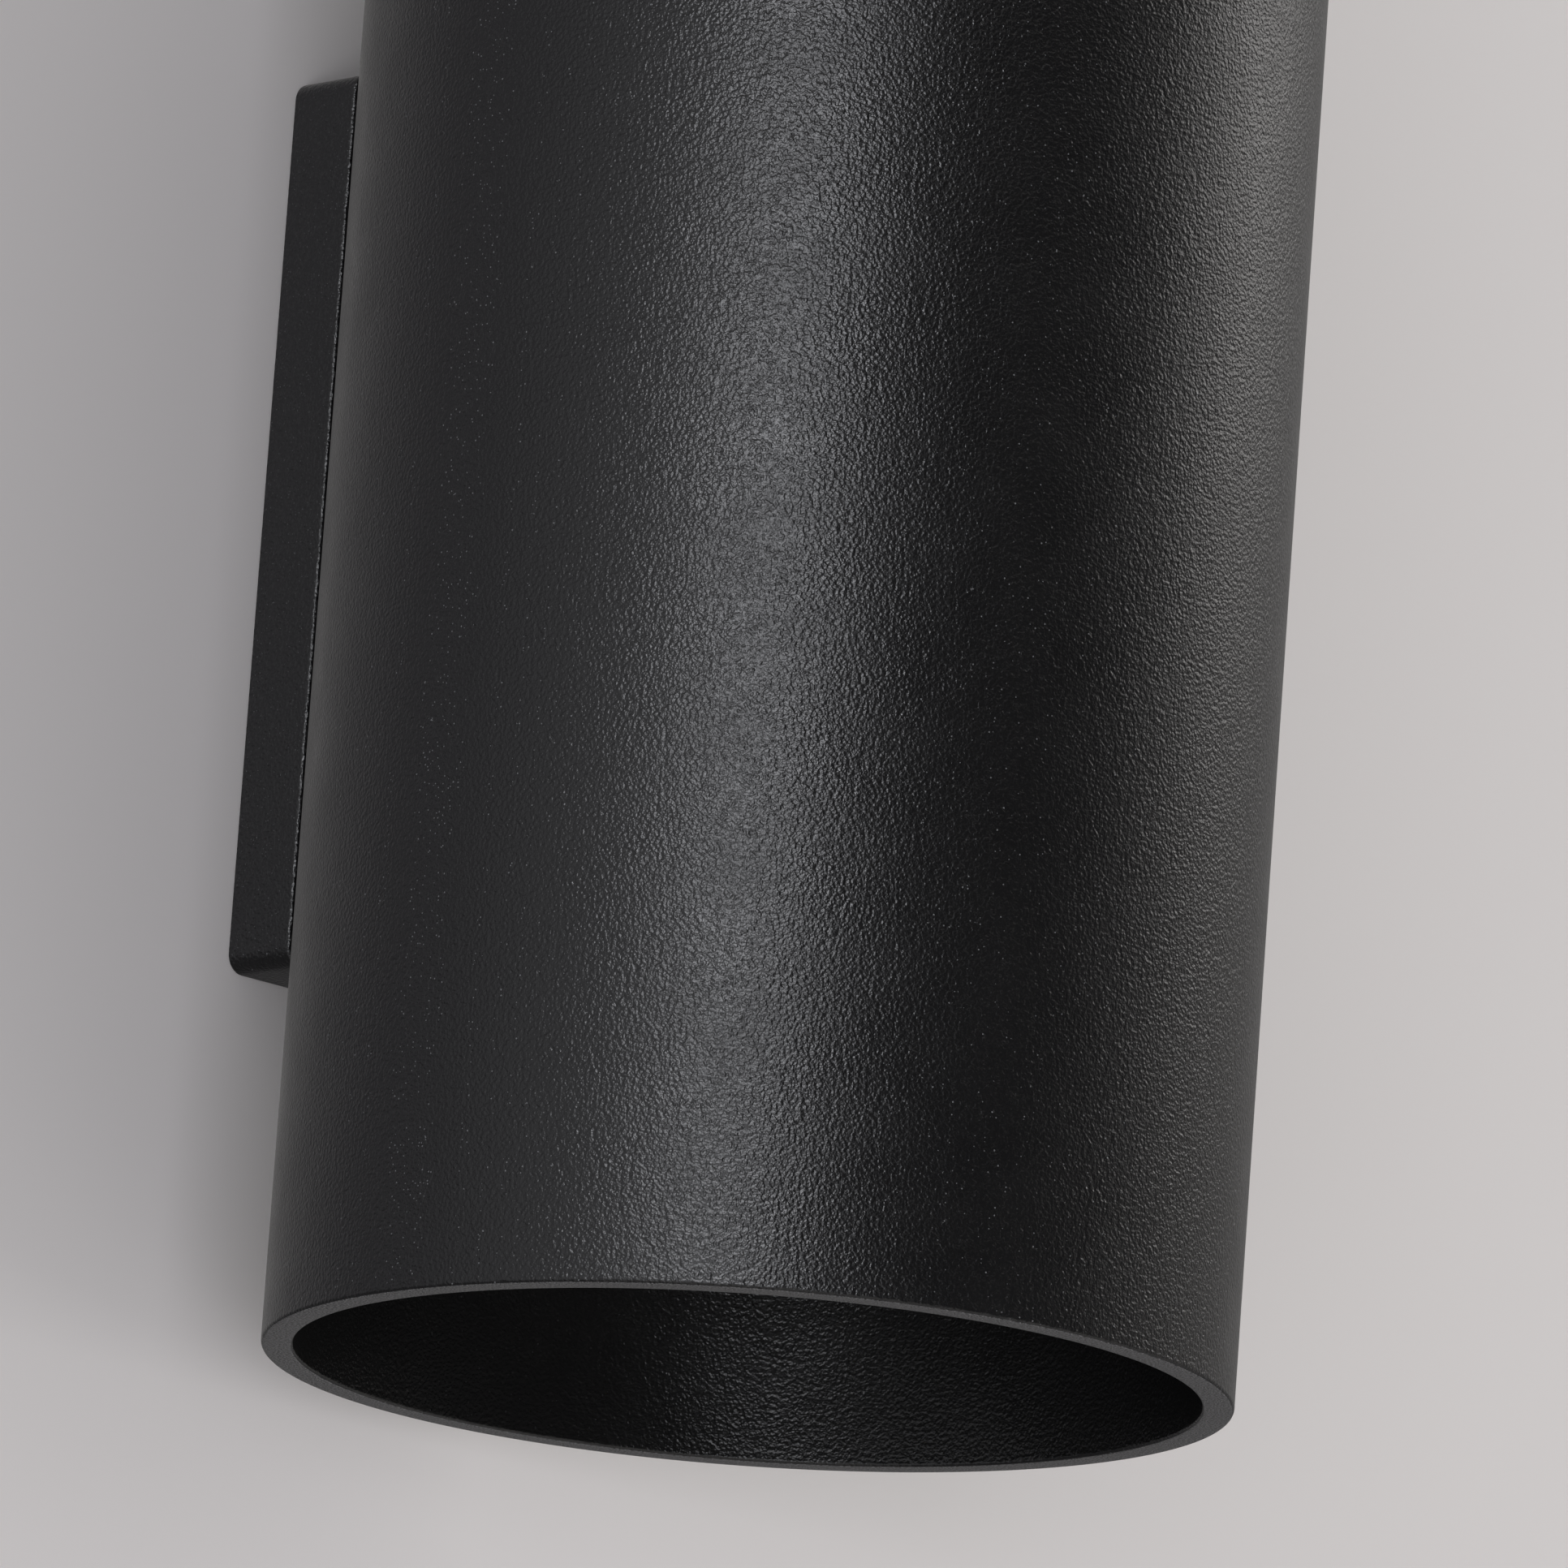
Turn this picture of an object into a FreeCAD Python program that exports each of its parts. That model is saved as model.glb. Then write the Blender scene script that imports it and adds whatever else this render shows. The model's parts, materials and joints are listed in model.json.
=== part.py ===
"""Tube wall light: an open tube on a slim wall block, with a twist-lock lamp shining up and one shining down.

Millimetres. The origin is the centre of the mounting block's back, on the wall plane. +Y goes into the
wall, so the light stands out towards -Y. +Z is up and +X is to the right for someone facing the wall.

The upper half of the inside is modelled once. The lower half is the same parts turned half a turn about
the Y axis, as on the real light, where both ends take the same bracket, holder, lamp and baffle.
"""
import FreeCAD, Part
import math
import os

# ---- Tube ----
TUBE_DIAMETER = 100.0
TUBE_WALL = 3.3
TUBE_LENGTH = 184.0
RIM_EDGE_CHAMFER = 0.4

# ---- Mounting block: a shallow cup, open towards the wall ----
BLOCK_WIDTH = 45.0
BLOCK_HEIGHT = 96.0
BLOCK_DEPTH = 9.0
BLOCK_WALL = 2.0
BLOCK_CORNER_RADIUS = 2.75
BLOCK_EDGE_RADIUS = 0.4
SADDLE_DEPTH = 0.4

# ---- Wall plate: a steel strap with two tabs that the grub screws lock into ----
PLATE_SHEET = 1.5
PLATE_SIDE_GAP = 3.0
PLATE_BEND_RADIUS = 0.6
TAB_WIDTH = 14.0
WALL_SCREW_SPACING = 60.0
WALL_SLOT_WIDTH = 4.5
WALL_SLOT_LENGTH = 9.0
CABLE_WINDOW_DIAMETER = 20.0

# ---- Grub screws, in at the block's top and bottom ----
GRUB_DIAMETER = 4.0
GRUB_SINK = 0.5
GRUB_TIP_DIAMETER = 1.8
GRUB_BOSS_WIDTH = 9.0
GRUB_BOSS_LENGTH = 3.0
TAB_HOLE_DIAMETER = 3.4

# ---- Screws that clamp block, tube and lamp brackets together ----
TUBE_SCREW_SPACING = 40.0
TUBE_SCREW_DIAMETER = 4.0
TUBE_SCREW_HEAD_DIAMETER = 8.0
TUBE_SCREW_HEAD_HEIGHT = 2.6
CLAMP_NUT_FLATS = 7.0
CLAMP_NUT_HEIGHT = 3.2

# ---- Small screws and nuts ----
SMALL_SCREW_DIAMETER = 3.0
SMALL_HEAD_DIAMETER = 5.6
SMALL_HEAD_HEIGHT = 1.8
LUG_SCREW_HEAD_DIAMETER = 4.6
SMALL_NUT_FLATS = 5.5
SMALL_NUT_HEIGHT = 2.4
SCREW_END = 0.6
SOCKET_SHARE = 0.6

# ---- Lamp brackets: an L of steel sheet at each end of the wiring chamber ----
BRACKET_SHEET = 1.5
BRACKET_WIDTH = 30.0
BRACKET_BEND_RADIUS = 1.0
BRACKET_LEG_MARGIN = 8.0
BRACKET_CORNER_RADIUS = 4.0
LEAD_WINDOW_DEPTH = 6.0
LEAD_WINDOW_MARGIN = 0.6

# ---- Earth screw, on the brackets' legs ----
EARTH_SCREW_DIAMETER = 4.0
EARTH_HEAD_DIAMETER = 7.0
EARTH_HEAD_HEIGHT = 2.4
EARTH_WASHER_DIAMETER = 8.0
EARTH_WASHER_THICKNESS = 0.8
EARTH_SCREW_OFFSET = 9.0

# ---- Lamp holders: ceramic, with two keyholes for the lamp's pins ----
HOLDER_DIAMETER = 29.0
HOLDER_HEIGHT = 13.0
HOLDER_FOOT_HEIGHT = 5.0
HOLDER_STEP = 1.0
HOLDER_EDGE_CHAMFER = 0.8
HOLDER_SCREW_SPACING = 21.0
CONTACT_THICKNESS = 0.6
TWIST_ANGLE = 20.0

# ---- Lamps: 50 mm reflector size, two pins 10 mm apart ----
LAMP_DIAMETER = 50.0
LAMP_LENGTH = 46.2
LAMP_SEAT_GAP = 0.3
LAMP_BASE_DIAMETER = 25.0
LAMP_BASE_HEIGHT = 13.0
LAMP_RIM_HEIGHT = 4.0
LAMP_WAIST_DIAMETER = 31.0
LAMP_EDGE_CHAMFER = 0.8
LAMP_FLARE_BULGE = 2.4
FIN_COUNT = 18
FIN_THICKNESS = 2.6
FIN_DEPTH = 3.0
LENS_DIAMETER = 45.0
LENS_THICKNESS = 2.6
LENS_RECESS = 0.6
LENS_DOME_DIAMETER = 11.0
LENS_DOME_TOP_DIAMETER = 6.0
LENS_DOME_HEIGHT = 1.6
LENS_DOME_CIRCLE = 25.0
LENS_DOME_COUNT = 6
PIN_SPACING = 10.0
PIN_LENGTH = 7.0
PIN_NECK_DIAMETER = 3.0
PIN_NECK_LENGTH = 4.5
PIN_HEAD_DIAMETER = 5.0
PIN_ROOT_LENGTH = 4.3

# ---- Baffles: black spun rings that hide the wiring and shade the lamps ----
BAFFLE_SHEET = 1.2
BAFFLE_SKIRT_HEIGHT = 10.0
BAFFLE_COLLAR_HEIGHT = 4.0
BAFFLE_LAMP_GAP = 1.0
BAFFLE_EDGE_CHAMFER = 0.7
TONGUE_SLOT_COUNT = 6
TONGUE_SLOT_WIDTH = 1.6
TONGUE_SLOT_DEPTH = 7.0

# ---- Terminal block, on the lower bracket ----
TERMINAL_HEIGHT = 12.0
TERMINAL_HEADROOM = 2.0
TERMINAL_WIDTH = 19.0
TERMINAL_DEPTH = 14.0
TERMINAL_OFFSET = 24.0
TERMINAL_EDGE_RADIUS = 0.8
TERMINAL_BORE_DIAMETER = 4.8
TERMINAL_SLEEVE_WALL = 0.6
TERMINAL_SCREW_DIAMETER = 2.6
TERMINAL_SCREW_LENGTH = 3.4
TERMINAL_SCREW_SPACING = 7.0
TERMINAL_SLOT_WIDTH = 0.5
TERMINAL_SLOT_DEPTH = 0.7
TERMINAL_LUG_LENGTH = 5.0
TERMINAL_LUG_WIDTH = 6.6
TERMINAL_LUG_HEIGHT = 3.0

# ---- Lamp leads: short sleeved wires from holder to terminal block ----
LEAD_DIAMETER = 2.0
LEAD_SPACING = 2.5
LEAD_BEND_RADIUS = 5.4
LEAD_ENTRY_DEPTH = 5.0

# ---- Cable grommet, through the block's front and the tube's wall ----
GROMMET_BORE_DIAMETER = 7.0
GROMMET_WALL = 2.0
GROMMET_LIP = 1.5
GROMMET_LIP_THICKNESS = 1.0

# ---- Clearances ----
SLIDING_GAP = 0.3
RUNNING_GAP = 0.05
FASTENER_GAP = 0.25
SEAT_GAP = 0.05
GROOVE_SEAT_GAP = 0.05

# ---- Working values: edges take at most this share of a wall, cutters reach this far past a face ----
EDGE_SHARE = 0.4
CUT_PAST = 1.0
SAME_PLACE = 0.0001

# ---- Places worked out from the sizes above ----
TUBE_RADIUS = TUBE_DIAMETER / 2
BORE_RADIUS = TUBE_RADIUS - TUBE_WALL
BLOCK_FRONT = -BLOCK_DEPTH
AXIS_Y = BLOCK_FRONT + SADDLE_DEPTH - GROOVE_SEAT_GAP - TUBE_RADIUS
BLOCK_CAVITY_FRONT = BLOCK_FRONT + BLOCK_WALL
SCREW_Z = TUBE_SCREW_SPACING / 2

CHAMBER_HEIGHT = TERMINAL_HEIGHT + TERMINAL_HEADROOM
SHELF_INNER = CHAMBER_HEIGHT / 2
SHELF_OUTER = SHELF_INNER + BRACKET_SHEET
LEG_BACK = AXIS_Y + math.sqrt(BORE_RADIUS**2 - (BRACKET_WIDTH / 2) ** 2) - SEAT_GAP
LEG_FRONT = LEG_BACK - BRACKET_SHEET
LEG_TOP = SCREW_Z + BRACKET_LEG_MARGIN
EARTH_Z = SHELF_OUTER + BRACKET_BEND_RADIUS + EARTH_WASHER_DIAMETER / 2 + SLIDING_GAP

HOLDER_FACE = SHELF_OUTER + HOLDER_HEIGHT
POCKET_TOP = HOLDER_FACE + LAMP_SEAT_GAP + 2 * RUNNING_GAP - PIN_NECK_LENGTH
POCKET_FLOOR = HOLDER_FACE + LAMP_SEAT_GAP - PIN_LENGTH - SLIDING_GAP - CONTACT_THICKNESS
LAMP_SEAT = HOLDER_FACE + LAMP_SEAT_GAP
LAMP_FACE = LAMP_SEAT + LAMP_LENGTH
PIN_X = PIN_SPACING / 2
TERMINAL_Y = AXIS_Y + TERMINAL_OFFSET
TERMINAL_FRONT = TERMINAL_Y - TERMINAL_DEPTH / 2
LUG_SCREW_X = TERMINAL_WIDTH / 2 + FASTENER_GAP + LUG_SCREW_HEAD_DIAMETER / 2

X_AXIS = FreeCAD.Vector(1, 0, 0)
Y_AXIS = FreeCAD.Vector(0, 1, 0)
Z_AXIS = FreeCAD.Vector(0, 0, 1)
TUBE_AXIS_POINT = FreeCAD.Vector(0, AXIS_Y, 0)


def point(x, y, z):
    return FreeCAD.Vector(x, y, z)


def block(x_low, x_high, y_low, y_high, z_low, z_high):
    """A square-edged box between two corners."""
    return Part.makeBox(x_high - x_low, y_high - y_low, z_high - z_low, point(x_low, y_low, z_low))


def rod(diameter, start, end):
    """A round bar between two points."""
    run = end - start
    return Part.makeCylinder(diameter / 2, run.Length, start, run)


def rod_along_z(diameter, x, y, z_low, z_high):
    return rod(diameter, point(x, y, z_low), point(x, y, z_high))


def rod_along_y(diameter, x, z, y_low, y_high):
    return rod(diameter, point(x, y_low, z), point(x, y_high, z))


def spun(corners):
    """A solid spun about the tube's axis from (radius, height) corners."""
    outline = [point(radius, AXIS_Y, height) for radius, height in corners]
    face = Part.Face(Part.makePolygon(outline + outline[:1]))
    return face.revolve(TUBE_AXIS_POINT, Z_AXIS, 360)


def ring(outer_diameter, inner_diameter, z_low, z_high):
    """A plain ring about the tube's axis."""
    outer = rod_along_z(outer_diameter, 0, AXIS_Y, z_low, z_high)
    return outer.cut(rod_along_z(inner_diameter, 0, AXIS_Y, z_low, z_high))


def cut_all(body, tools):
    for tool in tools:
        body = body.cut(tool)
    return body


def fuse_all(pieces):
    """One solid from pieces that share faces or volume."""
    body = pieces[0]
    for piece in pieces[1:]:
        body = body.fuse(piece)
    return body.removeSplitter()


def about_tube(shape, angle):
    """The shape turned about the tube's axis."""
    turned = shape.copy()
    turned.rotate(TUBE_AXIS_POINT, Z_AXIS, angle)
    return turned


def lower_copy(shape):
    """The same part at the other end: half a turn about the Y axis."""
    turned = shape.copy()
    turned.rotate(point(0, 0, 0), Y_AXIS, 180)
    return turned


def edges_where(shape, wanted):
    """The edges whose middle point passes the test."""
    return [edge for edge in shape.Edges if wanted(edge.valueAt(edge.getParameterByLength(edge.Length / 2)))]


def near(value, target):
    return abs(value - target) < SAME_PLACE


def rounded_plate(width, height, radius, y_low, y_high):
    """A plate facing the wall, with rounded corners in the front view."""
    plate = block(-width / 2, width / 2, y_low, y_high, -height / 2, height / 2)
    corners = edges_where(plate, lambda p: near(abs(p.x), width / 2) and near(abs(p.z), height / 2))
    return plate.makeFillet(radius, corners)


def stadium(width, length, x, y, z_low, z_high):
    """A round-ended bar standing along Z, its length along X."""
    half_run = (length - width) / 2
    ends = [rod_along_z(width, x + side * half_run, y, z_low, z_high) for side in (-1, 1)]
    middle = block(x - half_run, x + half_run, y - width / 2, y + width / 2, z_low, z_high)
    return fuse_all([middle] + ends)


def arc_slot(radius, width, angle, z_low, z_high):
    """A kidney-shaped solid on a circle about the tube's axis, from angle 0 to the given angle."""
    outer = radius + width / 2
    inner = radius - width / 2

    def on_circle(distance, degrees):
        turn = math.radians(degrees)
        return point(distance * math.cos(turn), AXIS_Y + distance * math.sin(turn), z_low)

    def past_end(degrees, direction):
        turn = math.radians(degrees)
        sideways = point(-math.sin(turn), math.cos(turn), 0) * (width / 2) * direction
        return on_circle(radius, degrees) + sideways

    arcs = [
        Part.Arc(on_circle(outer, 0), on_circle(outer, angle / 2), on_circle(outer, angle)),
        Part.Arc(on_circle(outer, angle), past_end(angle, 1), on_circle(inner, angle)),
        Part.Arc(on_circle(inner, angle), on_circle(inner, angle / 2), on_circle(inner, 0)),
        Part.Arc(on_circle(inner, 0), past_end(0, -1), on_circle(outer, 0)),
    ]
    face = Part.Face(Part.Wire([arc.toShape() for arc in arcs]))
    return face.extrude(point(0, 0, z_high - z_low))


# ---- Fasteners ----


def hex_bar(flats, start, direction, length):
    """A six-sided bar; flats is the distance across its flat sides."""
    corner_radius = flats / 2 / math.cos(math.radians(30))
    turns = [math.radians(60 * index) for index in range(7)]
    corners = [point(corner_radius * math.cos(turn), corner_radius * math.sin(turn), 0) for turn in turns]
    bar = Part.Face(Part.makePolygon(corners)).extrude(point(0, 0, length))
    bar.Placement = FreeCAD.Placement(start, FreeCAD.Rotation(Z_AXIS, direction))
    return bar


def nut(flats, height, thread, start, direction):
    """A hexagon nut standing on start, its outer corners chamfered at 30 degrees."""
    slope = math.tan(math.radians(30))
    cone = Part.makeCone(flats / 2 + height / slope, flats / 2, height, start, direction)
    body = hex_bar(flats, start, direction, height).common(cone)
    hole_start = start - direction * CUT_PAST
    return body.cut(rod(thread + 2 * RUNNING_GAP, hole_start, start + direction * (height + CUT_PAST)))


def socket_cutter(thread, head_height, top, direction):
    """The hexagon socket in a screw's head, half as deep as the head is high."""
    return hex_bar(thread * SOCKET_SHARE, top - direction * CUT_PAST, direction, CUT_PAST + head_height / 2)


def button_screw(head_diameter, head_height, thread, seat, direction, length):
    """A screw with a raised head that stands on seat; the upper half of the head slopes in."""
    half_height = head_height / 2
    top = seat - direction * head_height
    slope = Part.makeCone(head_diameter / 2 - half_height, head_diameter / 2, half_height, top, direction)
    head = rod(head_diameter, seat - direction * half_height, seat)
    screw = fuse_all([head, slope, rod(thread, seat, seat + direction * length)])
    return screw.cut(socket_cutter(thread, head_height, top, direction))


def countersunk_screw(head_diameter, thread, top, direction, length):
    """A flat-headed screw: its head's top is at top and its whole length is given."""
    cone_height = (head_diameter - thread) / 2
    head = Part.makeCone(head_diameter / 2, thread / 2, cone_height, top, direction)
    shank = rod(thread, top + direction * cone_height, top + direction * length)
    return fuse_all([head, shank]).cut(socket_cutter(thread, cone_height, top, direction))


def countersink(head_diameter, thread, top, direction):
    """The room for a flat head that is sunk by the running gap."""
    wide = head_diameter / 2 + FASTENER_GAP
    narrow = thread / 2 + FASTENER_GAP
    return Part.makeCone(wide, narrow, wide - narrow, top, direction)


# ---- Tube and block ----


def tube_body():
    """The aluminium tube, open at both ends, with three holes at the back."""
    half = TUBE_LENGTH / 2
    tube = ring(TUBE_DIAMETER, 2 * BORE_RADIUS, -half, half)
    rims = edges_where(tube, lambda p: near(abs(p.z), half))
    tube = tube.makeChamfer(min(RIM_EDGE_CHAMFER, TUBE_WALL * EDGE_SHARE), rims)
    holes = [rod_along_y(clearance_hole(TUBE_SCREW_DIAMETER), 0, z, AXIS_Y, 0) for z in (-SCREW_Z, SCREW_Z)]
    holes.append(rod_along_y(grommet_hole(), 0, 0, AXIS_Y, 0))
    return cut_all(tube, holes)


def clearance_hole(thread):
    return thread + 2 * FASTENER_GAP


def grommet_body_diameter():
    return GROMMET_BORE_DIAMETER + 2 * GROMMET_WALL


def grommet_hole():
    return grommet_body_diameter() + 2 * RUNNING_GAP


def mounting_block():
    """A shallow cup with rounded corners; its front is hollowed a little where the tube seats."""
    outer = rounded_plate(BLOCK_WIDTH, BLOCK_HEIGHT, BLOCK_CORNER_RADIUS, BLOCK_FRONT, 0)
    front_edges = edges_where(outer, lambda p: near(p.y, BLOCK_FRONT))
    outer = outer.makeFillet(min(BLOCK_EDGE_RADIUS, BLOCK_WALL * EDGE_SHARE), front_edges)
    cavity_radius = max(BLOCK_CORNER_RADIUS - BLOCK_WALL, BLOCK_WALL / 4)
    cavity_width = BLOCK_WIDTH - 2 * BLOCK_WALL
    cavity_height = BLOCK_HEIGHT - 2 * BLOCK_WALL
    cavity = rounded_plate(cavity_width, cavity_height, cavity_radius, BLOCK_CAVITY_FRONT, CUT_PAST)
    cup = outer.cut(cavity)
    boss_half = GRUB_BOSS_WIDTH / 2
    boss_front = BLOCK_CAVITY_FRONT - BLOCK_WALL / 2
    for side in (-1, 1):
        inner_end = side * (cavity_height / 2 - GRUB_BOSS_LENGTH)
        z_low, z_high = sorted((inner_end, side * (cavity_height + BLOCK_WALL) / 2))
        cup = cup.fuse(block(-boss_half, boss_half, boss_front, -PLATE_SHEET / 2, z_low, z_high))
    cup = cup.removeSplitter()
    saddle = rod_along_z(TUBE_DIAMETER + 2 * GROOVE_SEAT_GAP, 0, AXIS_Y, -BLOCK_HEIGHT, BLOCK_HEIGHT)
    holes = [rod_along_y(clearance_hole(TUBE_SCREW_DIAMETER), 0, z, AXIS_Y, 0) for z in (-SCREW_Z, SCREW_Z)]
    holes.append(rod_along_y(grommet_hole(), 0, 0, AXIS_Y, 0))
    grub_hole = GRUB_DIAMETER + 2 * RUNNING_GAP
    holes += [rod_along_z(grub_hole, 0, grub_y(), *sorted((side * BLOCK_HEIGHT, side * SHELF_INNER)))
              for side in (-1, 1)]
    return cut_all(cup, [saddle] + holes)


def grub_y():
    """The grub screws' depth: halfway down the room in front of the wall plate."""
    return (BLOCK_CAVITY_FRONT - PLATE_SHEET) / 2


def tab_face():
    """The height of the wall plate's tabs' outer faces."""
    return BLOCK_HEIGHT / 2 - BLOCK_WALL - GRUB_BOSS_LENGTH - SLIDING_GAP


def wall_plate():
    """A strap bent forward at both ends into tabs, slotted for the wall screws."""
    tab_front = BLOCK_CAVITY_FRONT + SLIDING_GAP
    outer_radius = PLATE_BEND_RADIUS + PLATE_SHEET
    z_end = tab_face()
    channel = block(-TAB_WIDTH / 2, TAB_WIDTH / 2, tab_front, 0, -z_end, z_end)
    inner_end = z_end - PLATE_SHEET
    room = block(-TAB_WIDTH, TAB_WIDTH, tab_front - CUT_PAST, -PLATE_SHEET, -inner_end, inner_end)
    channel = channel.cut(room)
    outer_bends = edges_where(channel, lambda p: near(p.y, 0) and near(abs(p.z), z_end))
    channel = channel.makeFillet(outer_radius, outer_bends)
    inner_bends = edges_where(channel, lambda p: near(p.y, -PLATE_SHEET) and near(abs(p.z), inner_end))
    channel = channel.makeFillet(PLATE_BEND_RADIUS, inner_bends)
    plate_width = BLOCK_WIDTH - 2 * BLOCK_WALL - 2 * PLATE_SIDE_GAP
    plate = rounded_plate(plate_width, 2 * (z_end - outer_radius), BLOCK_CORNER_RADIUS, -PLATE_SHEET, 0)
    plate = fuse_all([channel, plate])
    holes = [rod_along_y(CABLE_WINDOW_DIAMETER, 0, 0, BLOCK_FRONT, CUT_PAST)]
    for side in (-1, 1):
        slot = stadium(WALL_SLOT_WIDTH, WALL_SLOT_LENGTH, 0, 0, BLOCK_FRONT, BLOCK_DEPTH)
        slot.rotate(point(0, 0, 0), X_AXIS, 90)
        slot.rotate(point(0, 0, 0), Y_AXIS, 90)
        slot.translate(point(0, 0, side * WALL_SCREW_SPACING / 2))
        holes.append(slot)
        hole_ends = sorted((side * inner_end / 2, side * BLOCK_HEIGHT))
        holes.append(rod_along_z(TAB_HOLE_DIAMETER, 0, grub_y(), *hole_ends))
    return cut_all(plate, holes)


def block_grub_screws():
    """Two cone-tipped grub screws, each seated in the hole of one tab."""
    outer_end = BLOCK_HEIGHT / 2 - GRUB_SINK
    seat_radius = TAB_HOLE_DIAMETER / 2 - RUNNING_GAP
    cone_start = tab_face() + GRUB_DIAMETER / 2 - seat_radius
    cone_height = (GRUB_DIAMETER - GRUB_TIP_DIAMETER) / 2
    base = point(0, grub_y(), cone_start)
    shank = rod(GRUB_DIAMETER, base, point(0, grub_y(), outer_end))
    tip = Part.makeCone(GRUB_DIAMETER / 2, GRUB_TIP_DIAMETER / 2, cone_height, base, -Z_AXIS)
    screw = fuse_all([shank, tip])
    socket_floor = point(0, grub_y(), outer_end - GRUB_DIAMETER / 2)
    screw = screw.cut(hex_bar(GRUB_DIAMETER / 2, socket_floor, Z_AXIS, GRUB_DIAMETER))
    return [screw, lower_copy(screw)]


def clamp_screws():
    """Two screws, heads inside the block, through block and tube into the brackets' nuts."""
    nut_face = LEG_FRONT - CLAMP_NUT_HEIGHT
    length = BLOCK_CAVITY_FRONT - nut_face + SCREW_END
    seat = point(0, BLOCK_CAVITY_FRONT, SCREW_Z)
    screw = button_screw(TUBE_SCREW_HEAD_DIAMETER, TUBE_SCREW_HEAD_HEIGHT, TUBE_SCREW_DIAMETER, seat, -Y_AXIS,
                         length)
    return [screw, lower_copy(screw)]


def clamp_nuts():
    """The nuts welded to the front of the brackets' legs."""
    upper = nut(CLAMP_NUT_FLATS, CLAMP_NUT_HEIGHT, TUBE_SCREW_DIAMETER, point(0, LEG_FRONT, SCREW_Z), -Y_AXIS)
    return [upper, lower_copy(upper)]


# ---- Inside, upper half ----


def small_hole():
    return clearance_hole(SMALL_SCREW_DIAMETER)


def holder_screw_places():
    return [AXIS_Y - HOLDER_SCREW_SPACING / 2, AXIS_Y + HOLDER_SCREW_SPACING / 2]


def lamp_bracket():
    """One L of sheet: a leg against the tube's back wall and a round-ended shelf for the holder."""
    half = BRACKET_WIDTH / 2
    leg = block(-half, half, LEG_FRONT, LEG_BACK, SHELF_INNER, LEG_TOP)
    top_corners = edges_where(leg, lambda p: near(abs(p.x), half) and near(p.z, LEG_TOP))
    leg = leg.makeFillet(BRACKET_CORNER_RADIUS, top_corners)
    shelf = block(-half, half, AXIS_Y, LEG_BACK, SHELF_INNER, SHELF_OUTER)
    shelf_end = rod_along_z(BRACKET_WIDTH, 0, AXIS_Y, SHELF_INNER, SHELF_OUTER)
    bracket = fuse_all([leg, shelf, shelf_end])
    inner_bend = edges_where(bracket, lambda p: near(p.y, LEG_FRONT) and near(p.z, SHELF_OUTER))
    bracket = bracket.makeFillet(BRACKET_BEND_RADIUS, inner_bend)
    outer_bend = edges_where(bracket, lambda p: near(p.y, LEG_BACK) and near(p.z, SHELF_INNER))
    bracket = bracket.makeFillet(BRACKET_BEND_RADIUS + BRACKET_SHEET, outer_bend)
    window_length = PIN_SPACING + LEAD_DIAMETER + 2 * LEAD_WINDOW_MARGIN
    holes = [stadium(LEAD_WINDOW_DEPTH, window_length, 0, AXIS_Y, 0, LEG_TOP)]
    holes += [rod_along_z(small_hole(), 0, y, 0, LEG_TOP) for y in holder_screw_places()]
    holes += [rod_along_z(small_hole(), side * LUG_SCREW_X, TERMINAL_Y, 0, LEG_TOP) for side in (-1, 1)]
    holes.append(rod_along_y(clearance_hole(TUBE_SCREW_DIAMETER), 0, SCREW_Z, AXIS_Y, 0))
    holes.append(rod_along_y(EARTH_SCREW_DIAMETER + 2 * RUNNING_GAP, EARTH_SCREW_OFFSET, EARTH_Z, AXIS_Y, 0))
    return cut_all(bracket, holes)


def lamp_holder():
    """A ceramic disc with two keyholes, a pocket under each, and a hole for each lead."""
    foot_top = SHELF_OUTER + HOLDER_FOOT_HEIGHT
    foot = rod_along_z(HOLDER_DIAMETER, 0, AXIS_Y, SHELF_OUTER, foot_top)
    top = rod_along_z(HOLDER_DIAMETER - 2 * HOLDER_STEP, 0, AXIS_Y, SHELF_OUTER, HOLDER_FACE)
    body = fuse_all([foot, top])
    face_edge = edges_where(body, lambda p: near(p.z, HOLDER_FACE))
    body = body.makeChamfer(HOLDER_EDGE_CHAMFER, face_edge)
    cuts = []
    for side in (0, 180):
        cuts += [about_tube(cutter, side) for cutter in keyhole_cutters()]
    for y in holder_screw_places():
        cuts.append(rod_along_z(small_hole(), 0, y, 0, LAMP_FACE))
        cuts.append(countersink(SMALL_HEAD_DIAMETER, SMALL_SCREW_DIAMETER, point(0, y, HOLDER_FACE), -Z_AXIS))
    return cut_all(body, cuts)


def keyhole_cutters():
    """The entry hole, the neck's curved slot, the pocket for the pin's head and the lead's hole."""
    head_width = PIN_HEAD_DIAMETER + 2 * SLIDING_GAP
    neck_width = PIN_NECK_DIAMETER + 2 * SLIDING_GAP
    entry = about_tube(rod_along_z(head_width, PIN_X, AXIS_Y, POCKET_FLOOR, LAMP_FACE), TWIST_ANGLE)
    neck = arc_slot(PIN_X, neck_width, TWIST_ANGLE, POCKET_FLOOR, LAMP_FACE)
    pocket = arc_slot(PIN_X, head_width, TWIST_ANGLE, POCKET_FLOOR, POCKET_TOP)
    lead_width = LEAD_DIAMETER + 2 * RUNNING_GAP
    lead_hole = rod_along_z(lead_width, PIN_X, AXIS_Y, SHELF_INNER, POCKET_FLOOR + SEAT_GAP)
    return [entry, neck, pocket, lead_hole]


def holder_contacts():
    """A brass contact on each pocket's floor."""
    width = PIN_HEAD_DIAMETER - 2 * SLIDING_GAP
    contact = arc_slot(PIN_X, width, TWIST_ANGLE, POCKET_FLOOR, POCKET_FLOOR + CONTACT_THICKNESS)
    return [contact, about_tube(contact, 180)]


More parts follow.
